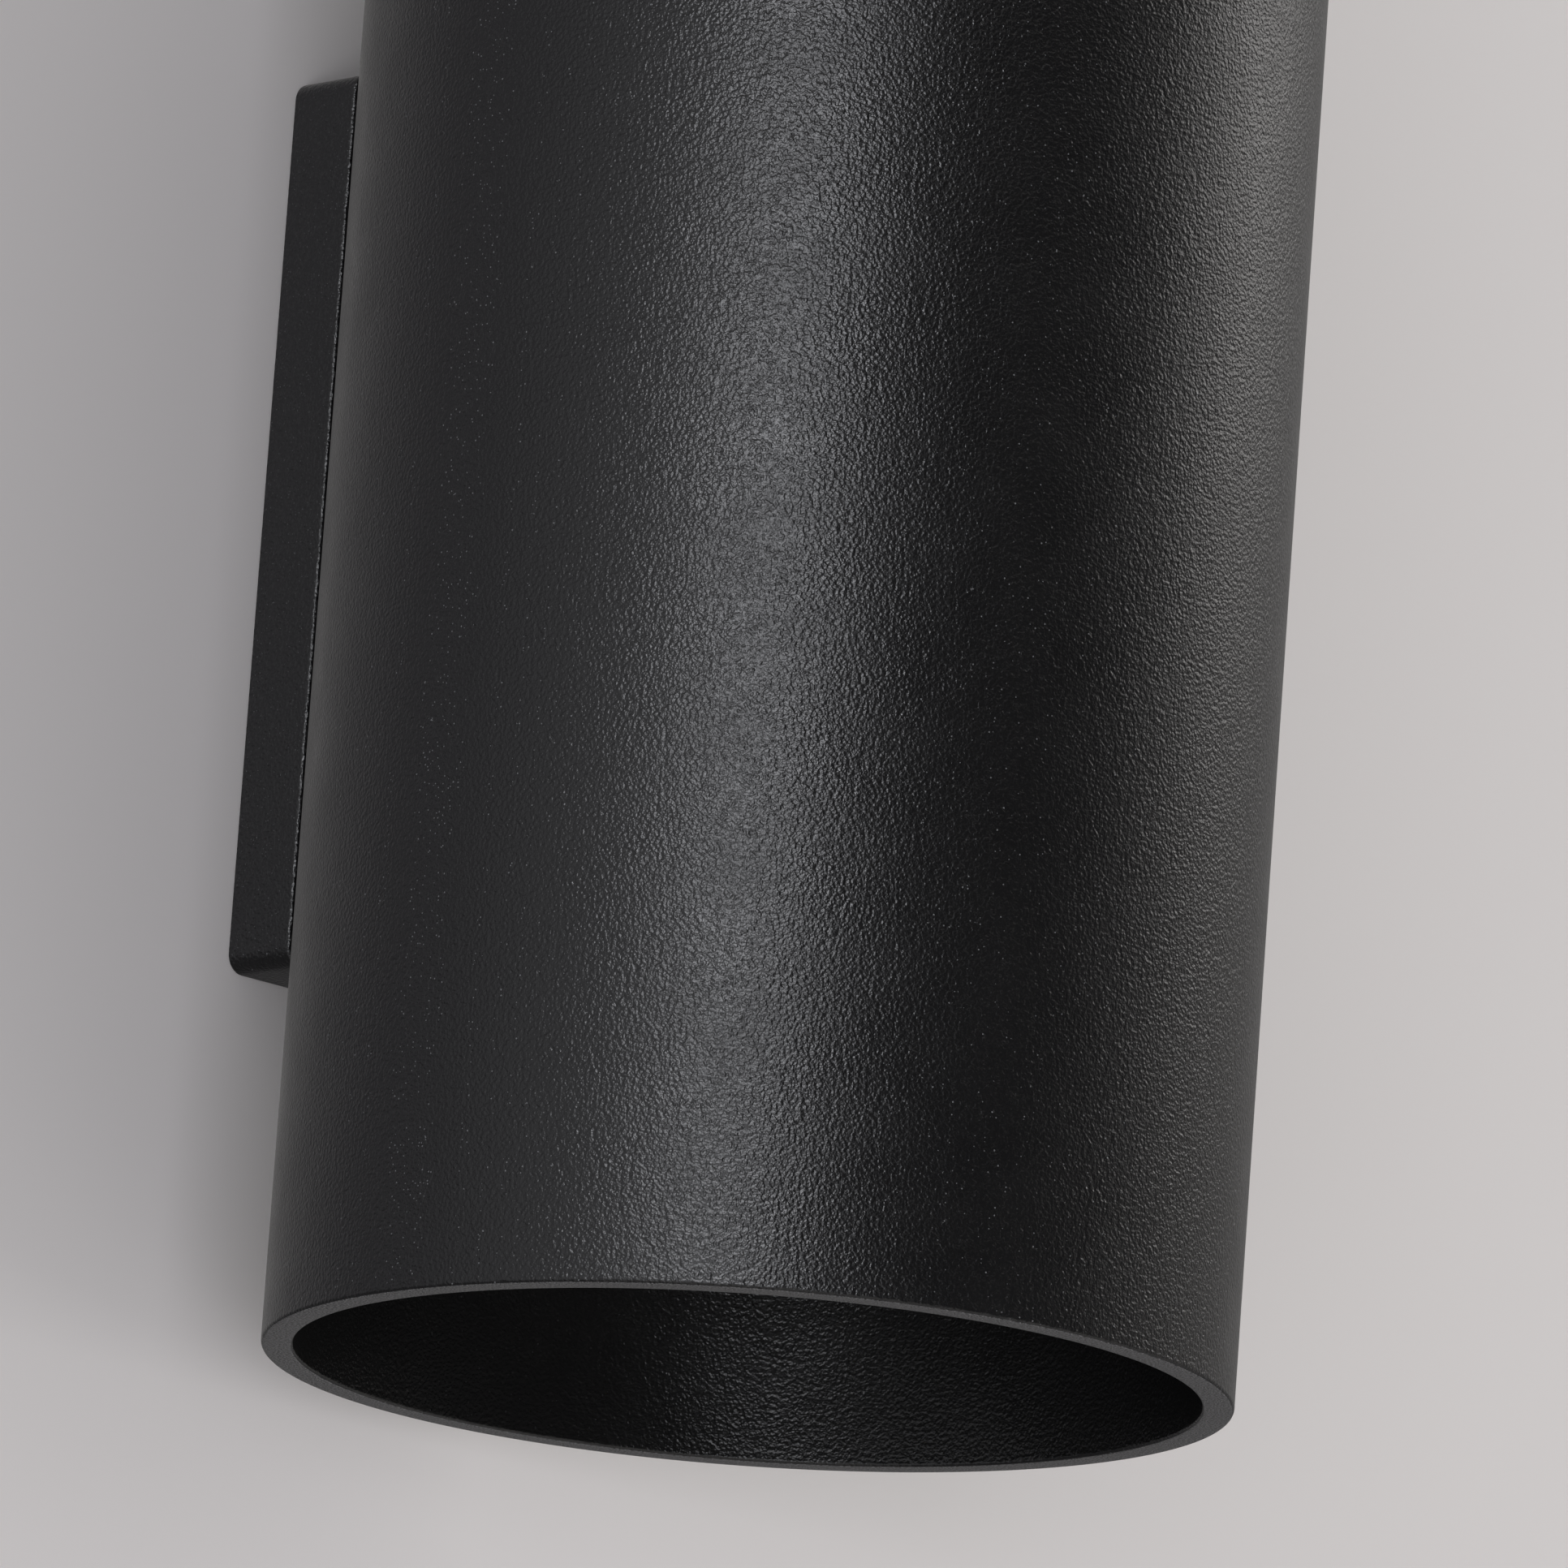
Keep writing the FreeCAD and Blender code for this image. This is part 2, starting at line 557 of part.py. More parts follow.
def holder_screws():
    """Two flat-headed screws that hold the lamp holder to its bracket."""
    top = HOLDER_FACE - FASTENER_GAP
    length = top - (SHELF_INNER - SMALL_NUT_HEIGHT - SCREW_END)
    return [countersunk_screw(SMALL_HEAD_DIAMETER, SMALL_SCREW_DIAMETER, point(0, y, top), -Z_AXIS, length)
            for y in holder_screw_places()]


def holder_nuts():
    """The nuts inside the wiring chamber."""
    return [nut(SMALL_NUT_FLATS, SMALL_NUT_HEIGHT, SMALL_SCREW_DIAMETER, point(0, y, SHELF_INNER), -Z_AXIS)
            for y in holder_screw_places()]


def lamp_base():
    """The lamp's insulating base, from the holder to the finned housing."""
    base = rod_along_z(LAMP_BASE_DIAMETER, 0, AXIS_Y, LAMP_SEAT, LAMP_SEAT + LAMP_BASE_HEIGHT)
    seat_edge = edges_where(base, lambda p: near(p.z, LAMP_SEAT))
    base = base.makeChamfer(LAMP_EDGE_CHAMFER, seat_edge)
    socket_width = PIN_NECK_DIAMETER + 2 * RUNNING_GAP
    socket_end = LAMP_SEAT + PIN_ROOT_LENGTH
    sockets = [rod_along_z(socket_width, side * PIN_X, AXIS_Y, 0, socket_end) for side in (-1, 1)]
    return cut_all(base, sockets)


def lamp_pins():
    """Two pins with broad heads that lock behind the holder's face."""
    head_top = LAMP_SEAT - PIN_NECK_LENGTH
    neck = rod_along_z(PIN_NECK_DIAMETER, PIN_X, AXIS_Y, head_top, LAMP_SEAT + PIN_ROOT_LENGTH)
    head = rod_along_z(PIN_HEAD_DIAMETER, PIN_X, AXIS_Y, LAMP_SEAT - PIN_LENGTH, head_top)
    pin = fuse_all([neck, head])
    return [pin, about_tube(pin, 180)]


def lamp_housing():
    """The flared heat sink: a bowl with straight fins standing out of it."""
    z_low = LAMP_SEAT + LAMP_BASE_HEIGHT
    rim_low = LAMP_FACE - LAMP_RIM_HEIGHT
    rim_radius = LAMP_DIAMETER / 2
    outer = flared_body(z_low, rim_low, LAMP_WAIST_DIAMETER / 2, rim_radius)
    core = flared_body(z_low, rim_low, LAMP_WAIST_DIAMETER / 2 - FIN_DEPTH, rim_radius - FIN_DEPTH)
    half_fin = FIN_THICKNESS / 2
    slab = block(-rim_radius, rim_radius, AXIS_Y - half_fin, AXIS_Y + half_fin, z_low, rim_low)
    housing = core
    for index in range(FIN_COUNT // 2):
        fin_pair = outer.common(about_tube(slab, index * 360 / FIN_COUNT))
        housing = housing.fuse(fin_pair)
    rim = rod_along_z(LAMP_DIAMETER, 0, AXIS_Y, rim_low, LAMP_FACE)
    rim_edge = edges_where(rim, lambda p: near(p.z, LAMP_FACE))
    rim = rim.makeChamfer(LAMP_EDGE_CHAMFER, rim_edge)
    housing = housing.fuse(rim).removeSplitter()
    seat_floor = LAMP_FACE - LENS_THICKNESS - LENS_RECESS
    seat = rod_along_z(LENS_DIAMETER + 2 * RUNNING_GAP, 0, AXIS_Y, seat_floor, LAMP_FACE + CUT_PAST)
    return housing.cut(seat)


def flared_body(z_low, z_high, low_radius, high_radius):
    """A bowl spun about the tube's axis; its side is two cones that bulge outwards where they meet."""
    middle = ((low_radius + high_radius) / 2 + LAMP_FLARE_BULGE, (z_low + z_high) / 2)
    return spun([(0, z_low), (low_radius, z_low), middle, (high_radius, z_high), (0, z_high)])


def lamp_lens():
    """The clear front: a disc with a ring of low cones and one in the middle, one for each light source."""
    z_high = LAMP_FACE - LENS_RECESS
    disc = rod_along_z(LENS_DIAMETER, 0, AXIS_Y, z_high - LENS_THICKNESS + SEAT_GAP, z_high)
    places = [(0, AXIS_Y)]
    for index in range(LENS_DOME_COUNT):
        turn = math.radians(index * 360 / LENS_DOME_COUNT)
        places.append((LENS_DOME_CIRCLE / 2 * math.cos(turn), AXIS_Y + LENS_DOME_CIRCLE / 2 * math.sin(turn)))
    domes = [Part.makeCone(LENS_DOME_DIAMETER / 2, LENS_DOME_TOP_DIAMETER / 2, LENS_DOME_HEIGHT,
                           point(x, y, z_high), Z_AXIS) for x, y in places]
    return fuse_all([disc] + domes)


def baffle():
    """A gutter-shaped ring round the lamp's face; slots cut its skirt into sprung tongues."""
    skirt_radius = BORE_RADIUS - SEAT_GAP
    collar_radius = LAMP_DIAMETER / 2 + BAFFLE_LAMP_GAP
    floor = LAMP_FACE - BAFFLE_SHEET
    ring_solid = spun([
        (collar_radius, LAMP_FACE), (skirt_radius, LAMP_FACE),
        (skirt_radius, LAMP_FACE - BAFFLE_SKIRT_HEIGHT),
        (skirt_radius - BAFFLE_SHEET, LAMP_FACE - BAFFLE_SKIRT_HEIGHT),
        (skirt_radius - BAFFLE_SHEET, floor), (collar_radius + BAFFLE_SHEET, floor),
        (collar_radius + BAFFLE_SHEET, LAMP_FACE - BAFFLE_COLLAR_HEIGHT),
        (collar_radius, LAMP_FACE - BAFFLE_COLLAR_HEIGHT),
    ])
    face_edges = edges_where(ring_solid, lambda p: near(p.z, LAMP_FACE))
    ring_solid = ring_solid.makeChamfer(BAFFLE_EDGE_CHAMFER, face_edges)
    slot_low = LAMP_FACE - BAFFLE_SKIRT_HEIGHT
    slot = block(collar_radius + 2 * BAFFLE_SHEET, TUBE_RADIUS, AXIS_Y - TONGUE_SLOT_WIDTH / 2,
                 AXIS_Y + TONGUE_SLOT_WIDTH / 2, slot_low - CUT_PAST,
                 slot_low + TONGUE_SLOT_DEPTH)
    slots = [about_tube(slot, index * 360 / TONGUE_SLOT_COUNT) for index in range(TONGUE_SLOT_COUNT)]
    return cut_all(ring_solid, slots)


# ---- Wiring ----


def terminal_block():
    """A two-way block on the lower shelf: two bores along Y, with two screw wells over each."""
    base = -SHELF_INNER
    top = base + TERMINAL_HEIGHT
    back = TERMINAL_FRONT + TERMINAL_DEPTH
    body = block(-TERMINAL_WIDTH / 2, TERMINAL_WIDTH / 2, TERMINAL_FRONT, back, base, top)
    body = body.makeFillet(TERMINAL_EDGE_RADIUS, edges_where(body, lambda p: near(p.z, top)))
    reach = TERMINAL_WIDTH / 2 + TERMINAL_LUG_LENGTH
    lug_half = TERMINAL_LUG_WIDTH / 2
    lug_top = base + TERMINAL_LUG_HEIGHT
    lugs = block(-reach, reach, TERMINAL_Y - lug_half, TERMINAL_Y + lug_half, base, lug_top)
    body = fuse_all([body, lugs])
    cuts = [rod_along_z(small_hole(), side * LUG_SCREW_X, TERMINAL_Y, base - CUT_PAST, top)
            for side in (-1, 1)]
    bore = sleeve_diameter() + 2 * RUNNING_GAP
    cuts += [rod_along_y(bore, x, 0, TERMINAL_FRONT - CUT_PAST, back + CUT_PAST) for x in (-PIN_X, PIN_X)]
    cuts += [rod_along_z(TERMINAL_SCREW_DIAMETER + 2 * FASTENER_GAP, x, y, 0, top + CUT_PAST)
             for x, y in terminal_screw_places()]
    return cut_all(body, cuts)


def sleeve_diameter():
    return TERMINAL_BORE_DIAMETER + 2 * TERMINAL_SLEEVE_WALL


def terminal_screw_places():
    half = TERMINAL_SCREW_SPACING / 2
    return [(x, TERMINAL_Y + y) for x in (-PIN_X, PIN_X) for y in (-half, half)]


def terminal_sleeves():
    """The brass sleeves in the terminal block's bores, tapped from above for the screws."""
    sleeves = []
    end_gap = TERMINAL_EDGE_RADIUS
    back = TERMINAL_FRONT + TERMINAL_DEPTH - end_gap
    for sleeve_x in (-PIN_X, PIN_X):
        sleeve = rod_along_y(sleeve_diameter(), sleeve_x, 0, TERMINAL_FRONT + end_gap, back)
        sleeve = sleeve.cut(rod_along_y(TERMINAL_BORE_DIAMETER, sleeve_x, 0, TERMINAL_FRONT, back + CUT_PAST))
        taps = [rod_along_z(TERMINAL_SCREW_DIAMETER + 2 * RUNNING_GAP, x, y, 0, TERMINAL_HEIGHT)
                for x, y in terminal_screw_places()]
        sleeves.append(cut_all(sleeve, taps))
    return sleeves


def terminal_screws():
    """Slotted screws that press on the wires."""
    tip = LEAD_SPACING / 2 + LEAD_DIAMETER / 2 + SEAT_GAP
    screws = []
    top = tip + TERMINAL_SCREW_LENGTH
    for x, y in terminal_screw_places():
        screw = rod_along_z(TERMINAL_SCREW_DIAMETER, x, y, tip, top)
        slot = block(x - TERMINAL_SCREW_DIAMETER, x + TERMINAL_SCREW_DIAMETER, y - TERMINAL_SLOT_WIDTH / 2,
                     y + TERMINAL_SLOT_WIDTH / 2, top - TERMINAL_SLOT_DEPTH, top + CUT_PAST)
        screws.append(screw.cut(slot))
    return screws


def terminal_block_screws():
    """Two screws through the terminal block's lugs and the lower shelf."""
    seat_z = -SHELF_INNER + TERMINAL_LUG_HEIGHT
    length = TERMINAL_LUG_HEIGHT + BRACKET_SHEET + SMALL_NUT_HEIGHT + SCREW_END
    return [button_screw(LUG_SCREW_HEAD_DIAMETER, SMALL_HEAD_HEIGHT, SMALL_SCREW_DIAMETER,
                         point(side * LUG_SCREW_X, TERMINAL_Y, seat_z), -Z_AXIS, length) for side in (-1, 1)]


def terminal_block_nuts():
    return [nut(SMALL_NUT_FLATS, SMALL_NUT_HEIGHT, SMALL_SCREW_DIAMETER,
                point(side * LUG_SCREW_X, TERMINAL_Y, -SHELF_OUTER), -Z_AXIS) for side in (-1, 1)]


def upper_leads():
    """Two sleeved wires: down out of the holder, one bend, then straight into the terminal block."""
    start_z = POCKET_FLOOR - SEAT_GAP
    end_z = LEAD_SPACING / 2
    end_y = TERMINAL_FRONT + LEAD_ENTRY_DEPTH
    bend = LEAD_BEND_RADIUS
    leads = []
    for x in (-PIN_X, PIN_X):
        bend_top = point(x, AXIS_Y, end_z + bend)
        bend_end = point(x, AXIS_Y + bend, end_z)
        slope = math.radians(45)
        bend_middle = point(x, AXIS_Y + bend - bend * math.cos(slope), end_z + bend - bend * math.sin(slope))
        path = Part.Wire([
            Part.makeLine(point(x, AXIS_Y, start_z), bend_top),
            Part.Arc(bend_top, bend_middle, bend_end).toShape(),
            Part.makeLine(bend_end, point(x, end_y, end_z)),
        ])
        section = Part.Wire(Part.makeCircle(LEAD_DIAMETER / 2, point(x, AXIS_Y, start_z), -Z_AXIS))
        leads.append(path.makePipeShell([section], True, False))
    return leads


def earth_screw():
    """The earth terminal screw on the lower bracket's leg, with its washer under the head."""
    seat = point(EARTH_SCREW_OFFSET, LEG_FRONT - EARTH_WASHER_THICKNESS, EARTH_Z)
    length = EARTH_WASHER_THICKNESS + BRACKET_SHEET
    screw = button_screw(EARTH_HEAD_DIAMETER, EARTH_HEAD_HEIGHT, EARTH_SCREW_DIAMETER, seat, Y_AXIS, length)
    return lower_copy(screw)


def earth_washer():
    front = LEG_FRONT - EARTH_WASHER_THICKNESS
    washer = rod_along_y(EARTH_WASHER_DIAMETER, EARTH_SCREW_OFFSET, EARTH_Z, front, LEG_FRONT)
    hole = clearance_hole(EARTH_SCREW_DIAMETER)
    washer = washer.cut(rod_along_y(hole, EARTH_SCREW_OFFSET, EARTH_Z, AXIS_Y, 0))
    return lower_copy(washer)


def cable_grommet():
    """A rubber bush with a lip inside the block and another inside the tube."""
    body = grommet_body_diameter()
    lip = body + 2 * GROMMET_LIP
    outer_lip = BLOCK_CAVITY_FRONT + RUNNING_GAP
    inner_lip = AXIS_Y + math.sqrt(BORE_RADIUS**2 - lip**2 / 4) - SEAT_GAP
    bush = fuse_all([
        rod_along_y(body, 0, 0, inner_lip - GROMMET_LIP_THICKNESS, outer_lip + GROMMET_LIP_THICKNESS),
        rod_along_y(lip, 0, 0, inner_lip - GROMMET_LIP_THICKNESS, inner_lip),
        rod_along_y(lip, 0, 0, outer_lip, outer_lip + GROMMET_LIP_THICKNESS),
    ])
    return bush.cut(rod_along_y(GROMMET_BORE_DIAMETER, 0, 0, AXIS_Y, 0))


def build():
    """Every node, by name; a list is a group of separate solids."""
    nodes = {
        "tube_body": tube_body(),
        "mounting_block": mounting_block(),
        "wall_plate": wall_plate(),
        "block_grub_screws": block_grub_screws(),
        "clamp_screws": clamp_screws(),
        "clamp_nuts": clamp_nuts(),
        "cable_grommet": cable_grommet(),
        "terminal_block": terminal_block(),
        "terminal_sleeves": terminal_sleeves(),
        "terminal_screws": terminal_screws(),
        "terminal_block_screws": terminal_block_screws(),
        "earth_screw": earth_screw(),
        "earth_washer": earth_washer(),
    }
    upper_screws = holder_screws()
    nodes["holder_screws"] = upper_screws + [lower_copy(screw) for screw in upper_screws]
    upper_nuts = holder_nuts()
    nodes["shelf_nuts"] = upper_nuts + [lower_copy(one) for one in upper_nuts] + terminal_block_nuts()
    paired = {
        "lamp_bracket": lamp_bracket(),
        "lamp_holder": lamp_holder(),
        "holder_contacts": holder_contacts(),
        "lamp_leads": upper_leads(),
        "lamp_base": lamp_base(),
        "lamp_pins": lamp_pins(),
        "lamp_housing": lamp_housing(),
        "lamp_lens": lamp_lens(),
        "baffle": baffle(),
    }
    for name, shape in paired.items():
        nodes["upper_" + name] = shape
        if isinstance(shape, list):
            nodes["lower_" + name] = [lower_copy(solid) for solid in shape]
        else:
            nodes["lower_" + name] = lower_copy(shape)
    return nodes


def export(nodes):
    os.makedirs("parts", exist_ok=True)
    for name, shape in nodes.items():
        if isinstance(shape, list):
            shape = Part.makeCompound(shape)
        if not shape.isValid():
            raise RuntimeError(name + " isn't a valid solid")
        shape.exportStep("parts/" + name + ".step")
        print("%-24s %2d solids %10.1f mm3" % (name, len(shape.Solids), shape.Volume))


export(build())
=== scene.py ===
"""The looks of a black tube wall light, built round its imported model.

The tube, the wall block, the lamps' lenses and the short sleeved wires are surfaces worked out with numpy.
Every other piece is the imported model's own, with a finish of its own. Metres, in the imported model's frame:
the origin is the centre of the block's back, +Y goes into the wall and +Z is up.
"""
import json
import math

import bpy
import numpy as np
from bpy.props import FloatProperty, FloatVectorProperty, IntProperty, PointerProperty
from mathutils import Matrix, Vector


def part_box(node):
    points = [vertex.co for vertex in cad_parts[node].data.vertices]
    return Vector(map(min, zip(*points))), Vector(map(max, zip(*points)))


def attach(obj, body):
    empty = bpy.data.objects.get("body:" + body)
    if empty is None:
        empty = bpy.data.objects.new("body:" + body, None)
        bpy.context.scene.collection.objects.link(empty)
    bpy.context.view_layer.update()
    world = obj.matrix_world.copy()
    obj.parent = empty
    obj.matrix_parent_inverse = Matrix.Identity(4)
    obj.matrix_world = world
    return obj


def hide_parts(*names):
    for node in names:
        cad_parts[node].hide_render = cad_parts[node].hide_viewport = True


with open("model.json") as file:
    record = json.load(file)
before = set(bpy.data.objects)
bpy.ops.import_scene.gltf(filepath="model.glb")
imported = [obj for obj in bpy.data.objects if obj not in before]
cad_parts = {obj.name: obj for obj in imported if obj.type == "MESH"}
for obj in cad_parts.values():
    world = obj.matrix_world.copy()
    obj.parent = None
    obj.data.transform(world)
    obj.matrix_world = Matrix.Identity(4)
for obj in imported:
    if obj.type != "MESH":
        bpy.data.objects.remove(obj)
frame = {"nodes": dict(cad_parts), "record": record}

bl_info = {
    "name": "Tube Wall Light",
    "version": (1, 0, 0),
    "blender": (4, 5, 0),
    "location": "3D View > Sidebar > Wall Light",
    "description": "Dresses the packed model of a black tube wall light and stages it on a pale wall",
    "category": "Object",
}

bpy.context.view_layer.update()

# The picture is square. The camera's sensor is given in millimetres, and all else in metres.
PICTURE_PIXELS = 1932
SENSOR_MM = 36.0

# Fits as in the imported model, how far a cutter reaches past a face, and how near two points are taken for one.
MM = 0.001
SEAT_GAP = 0.05 * MM
FASTENER_GAP = 0.25 * MM
GROMMET_LIP = 1.5 * MM
CUT_PAST = 1.0 * MM
MERGE_DISTANCE = 0.002 * MM

# Most values of a noise lie in this span.
NOISE_SPAN = (0.3, 0.7)


def box_size(node):
    """The width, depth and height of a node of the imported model."""
    low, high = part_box(node)
    return high - low


def box_middle(node):
    """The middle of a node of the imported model."""
    low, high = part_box(node)
    return (low + high) / 2


# The clamp screws' heads are the widest thing in their node, and are twice as wide as the shanks.
TUBE_SIZE = box_size("tube_body")
TUBE_AXIS_Y = box_middle("tube_body").y
BORE_RADIUS = box_size("lower_baffle").x / 2 + SEAT_GAP
BLOCK_SIZE = box_size("mounting_block")
CLAMP_HEAD = box_size("clamp_screws").x
CLAMP_SPACING = box_size("clamp_screws").z - CLAMP_HEAD
CLAMP_HOLE_RADIUS = CLAMP_HEAD / 4 + FASTENER_GAP
GROMMET_HOLE_RADIUS = box_size("cable_grommet").x / 2 - GROMMET_LIP + SEAT_GAP
GRUB_HOLE_RADIUS = box_size("block_grub_screws").x / 2 + SEAT_GAP
GRUB_Y = box_middle("block_grub_screws").y


def srgb(code):
    """The linear colour of an sRGB hex code."""
    channels = [int(code[i:i + 2], 16) / 255 for i in (1, 3, 5)]
    return tuple(c / 12.92 if c <= 0.04045 else ((c + 0.055) / 1.055) ** 2.4 for c in channels)


def colour_property(name, description, code):
    """A colour setting, whose default is an sRGB hex code."""
    return FloatVectorProperty(name=name, description=description, subtype="COLOR", size=3, min=0, max=1,
                               default=srgb(code))


def length_property(name, description, default):
    """A length setting, in metres."""
    return FloatProperty(name=name, description=description, unit="LENGTH", min=0, precision=5, default=default)


def angle_property(name, description, degrees):
    """An angle setting, whose default is in degrees."""
    return FloatProperty(name=name, description=description, subtype="ANGLE", default=math.radians(degrees))


# ---- Settings ----


class CoatSettings(bpy.types.PropertyGroup):
    """The powder coat on the tube and the block."""

    colour: colour_property("Coat colour", "Pigment of the powder coat", "#131314")
    # Rim colour is painted light: a paler grey standing in for the light the flat, downward-facing rims catch from the
    # pale floor and wall below.
    painted_rim_light: colour_property("Rim colour", "Coat on the flat rims, sprayed end-on and paler", "#949495")
    # Inside colour is painted shade: the colour set for the dim bore, which also leaves out most of the painted glints
    # there.
    painted_inside_shade: colour_property("Inside colour", "Coat inside the tube, where it lies thinner", "#161616")
    # Speck colour is painted light: pale specks that paint the glints of single grains catching the light.
    painted_glint_colour: colour_property("Speck colour", "The few grains that lie bare on top of the coat", "#6f7173")
    grain_pitch: length_property("Grain pitch", "Distance from one grain of the sand texture to the next", 0.4 * MM)
    grain_height: length_property("Grain height", "How far the grains stand proud", 0.14 * MM)
    roughness: FloatProperty(name="Roughness", description="Spread of the coat's gloss", subtype="FACTOR",
                             min=0, max=1, default=0.33)


class TubeSettings(bpy.types.PropertyGroup):
    """The open tube."""

    diameter: length_property("Diameter", "Outer diameter", TUBE_SIZE.x)
    bore: length_property("Bore", "Inner diameter", 2 * BORE_RADIUS)
    height: length_property("Height", "Length of the tube", TUBE_SIZE.z)
    rim_edge: length_property("Rim edge", "Radius on the rims' edges", 0.4 * MM)
    sides: IntProperty(name="Sides", description="Faces round the tube", min=32, default=360)


class BlockSettings(bpy.types.PropertyGroup):
    """The slim block on the wall."""

    width: length_property("Width", "Width across the wall", BLOCK_SIZE.x)
    height: length_property("Height", "Height up the wall", BLOCK_SIZE.z)
    depth: length_property("Depth", "How far it stands off the wall", BLOCK_SIZE.y)
    wall: length_property("Wall", "Thickness of its shell", 2.0 * MM)
    corner: length_property("Corner", "Radius of its corners seen from the front", 2.0 * MM)
    edge: length_property("Edge", "Radius round its front", 0.4 * MM)
    boss_width: length_property("Boss width", "Width of the thicker place round each grub screw", 9.0 * MM)
    boss_length: length_property("Boss length", "How far it reaches in from the shell", 3.0 * MM)
    boss_sink: length_property("Boss sink", "How far it stops short of the wall", 0.75 * MM)


class LampSettings(bpy.types.PropertyGroup):
    """The two lamps and their wires."""

    lens_colour: colour_property("Lens tint", "Tint of the clear moulded lens", "#f4f6f8")
    chip_colour: colour_property("Chip colour", "Phosphor of the unlit light sources", "#e0b83c")
    dome_circle: length_property("Dome circle", "Diameter of the circle of small domes", 25.0 * MM)
    dome_diameter: length_property("Dome diameter", "Diameter of each dome", 11.0 * MM)
    dome_height: length_property("Dome height", "Height of each dome", 1.6 * MM)
    dome_count: IntProperty(name="Domes", description="Domes on the circle round the middle one", min=1, default=6)
    chip_width: length_property("Chip width", "Side of each square light source", 2.8 * MM)
    chip_height: length_property("Chip height", "Height of each light source", 0.4 * MM)
    board_thickness: length_property("Board thickness", "Thickness of the light sources' board", 0.5 * MM)
    wire_diameter: length_property("Wire diameter", "Diameter over the woven sleeve", 2.0 * MM)
    wire_bend: length_property("Wire bend", "Radius of each wire's bend", 5.4 * MM)


class StageSettings(bpy.types.PropertyGroup):
    """The wall, floor, lights and camera."""

    wall_colour: colour_property("Wall colour", "Matt wall paint", "#f1efee")
    floor_colour: colour_property("Floor colour", "Matt floor", "#d9d8d6")
    floor_drop: length_property("Floor drop", "Height of the light above the floor", 1.6)
    camera_left: angle_property("Camera left", "Angle of the camera to the left of the front", 44.425)
    camera_below: angle_property("Camera below", "Angle of the camera below the lower rim", 12.274)
    camera_roll: angle_property("Camera roll", "Lean of the picture", 4.135)
    camera_distance: length_property("Camera distance", "From the camera to the lower rim's centre", 1.9893)
    focal_length: FloatProperty(name="Focal length", description="In millimetres, on a 36 mm sensor",
                                default=445.71)
    rim_right: FloatProperty(name="Rim right", description="Lower rim's centre, in picture widths from the left",
                             default=920.75 / PICTURE_PIXELS)
    rim_down: FloatProperty(name="Rim down", description="Lower rim's centre, in picture heights from the top",
                            default=1699.92 / PICTURE_PIXELS)


class WallLightSettings(bpy.types.PropertyGroup):
    """All the settings of the wall light."""

    coat: PointerProperty(type=CoatSettings)
    tube: PointerProperty(type=TubeSettings)
    block: PointerProperty(type=BlockSettings)
    lamp: PointerProperty(type=LampSettings)
    stage: PointerProperty(type=StageSettings)


# ---- Surfaces ----


def grid_object(name, points, wrap_rows=False, wrap_columns=False):
    """An object from a grid of points: neighbours along rows and columns are joined by four-sided faces."""
    rows, columns = points.shape[:2]
    i, j = np.meshgrid(np.arange(rows - (not wrap_rows)), np.arange(columns - (not wrap_columns)), indexing="ij")
    i_next, j_next = (i + 1) % rows, (j + 1) % columns
    corners = np.stack([i * columns + j, i_next * columns + j, i_next * columns + j_next, i * columns + j_next], -1)
    mesh = bpy.data.meshes.new(name)
    mesh.from_pydata(points.reshape(-1, 3).tolist(), [], corners.reshape(-1, 4).tolist())
    made = bpy.data.objects.new(name, mesh)
    bpy.context.scene.collection.objects.link(made)
    return made


def tidy_surface(made, sharp_angle=30.0):
    """Closes poles and seams, points the faces outwards and shades the surface smooth up to the angle."""
    activate(made)
    bpy.ops.object.mode_set(mode="EDIT")
    bpy.ops.mesh.select_all(action="SELECT")
    bpy.ops.mesh.remove_doubles(threshold=MERGE_DISTANCE)
    bpy.ops.mesh.normals_make_consistent(inside=False)
    bpy.ops.object.mode_set(mode="OBJECT")
    made.data.shade_smooth()
    made.data.set_sharp_from_angle(angle=math.radians(sharp_angle))
    return made


def activate(*pieces):
    """Selects these pieces only, and makes the first one active."""
    bpy.ops.object.select_all(action="DESELECT")
    for piece in pieces:
        piece.select_set(True)
    bpy.context.view_layer.objects.active = pieces[0]


def joined(pieces):
    """Makes one object of several, under the first one's name."""
    activate(*pieces)
    bpy.ops.object.join()
    return pieces[0]


def round_corner(centre, radius, start, end, steps=6):
    """Points on an arc in a plane: centre plus radius times (cos, sin) of evenly spaced angles, in degrees."""
    angles = np.radians(np.linspace(start, end, steps + 1))
    return np.stack([centre[0] + radius * np.cos(angles), centre[1] + radius * np.sin(angles)], -1)


def spun(profile, sides):
    """Each (radius, height) of the profile goes round the tube's axis: x = r cos a, y = axis + r sin a, z = height."""
    angles = np.linspace(0, 2 * np.pi, sides, endpoint=False)
    radius, height = profile[:, :1], profile[:, 1:]
    x = radius * np.cos(angles)
    y = TUBE_AXIS_Y + radius * np.sin(angles)
    return np.stack([x, y, height + 0 * x], -1)


def cutter_along_y(name, radius, x, z, y_low, y_high, sides=48):
    """A closed round bar along Y: a profile of four radii, 0, r, r and 0, carried from end to end."""
    angles = np.linspace(0, 2 * np.pi, sides, endpoint=False)
    radii = np.array([0, radius, radius, 0])[:, None]
    depths = np.array([y_low, y_low, y_high, y_high])[:, None]
    points = np.stack([x + radii * np.cos(angles), depths + 0 * radii * angles, z + radii * np.sin(angles)], -1)
    return tidy_surface(grid_object(name, points, wrap_columns=True))


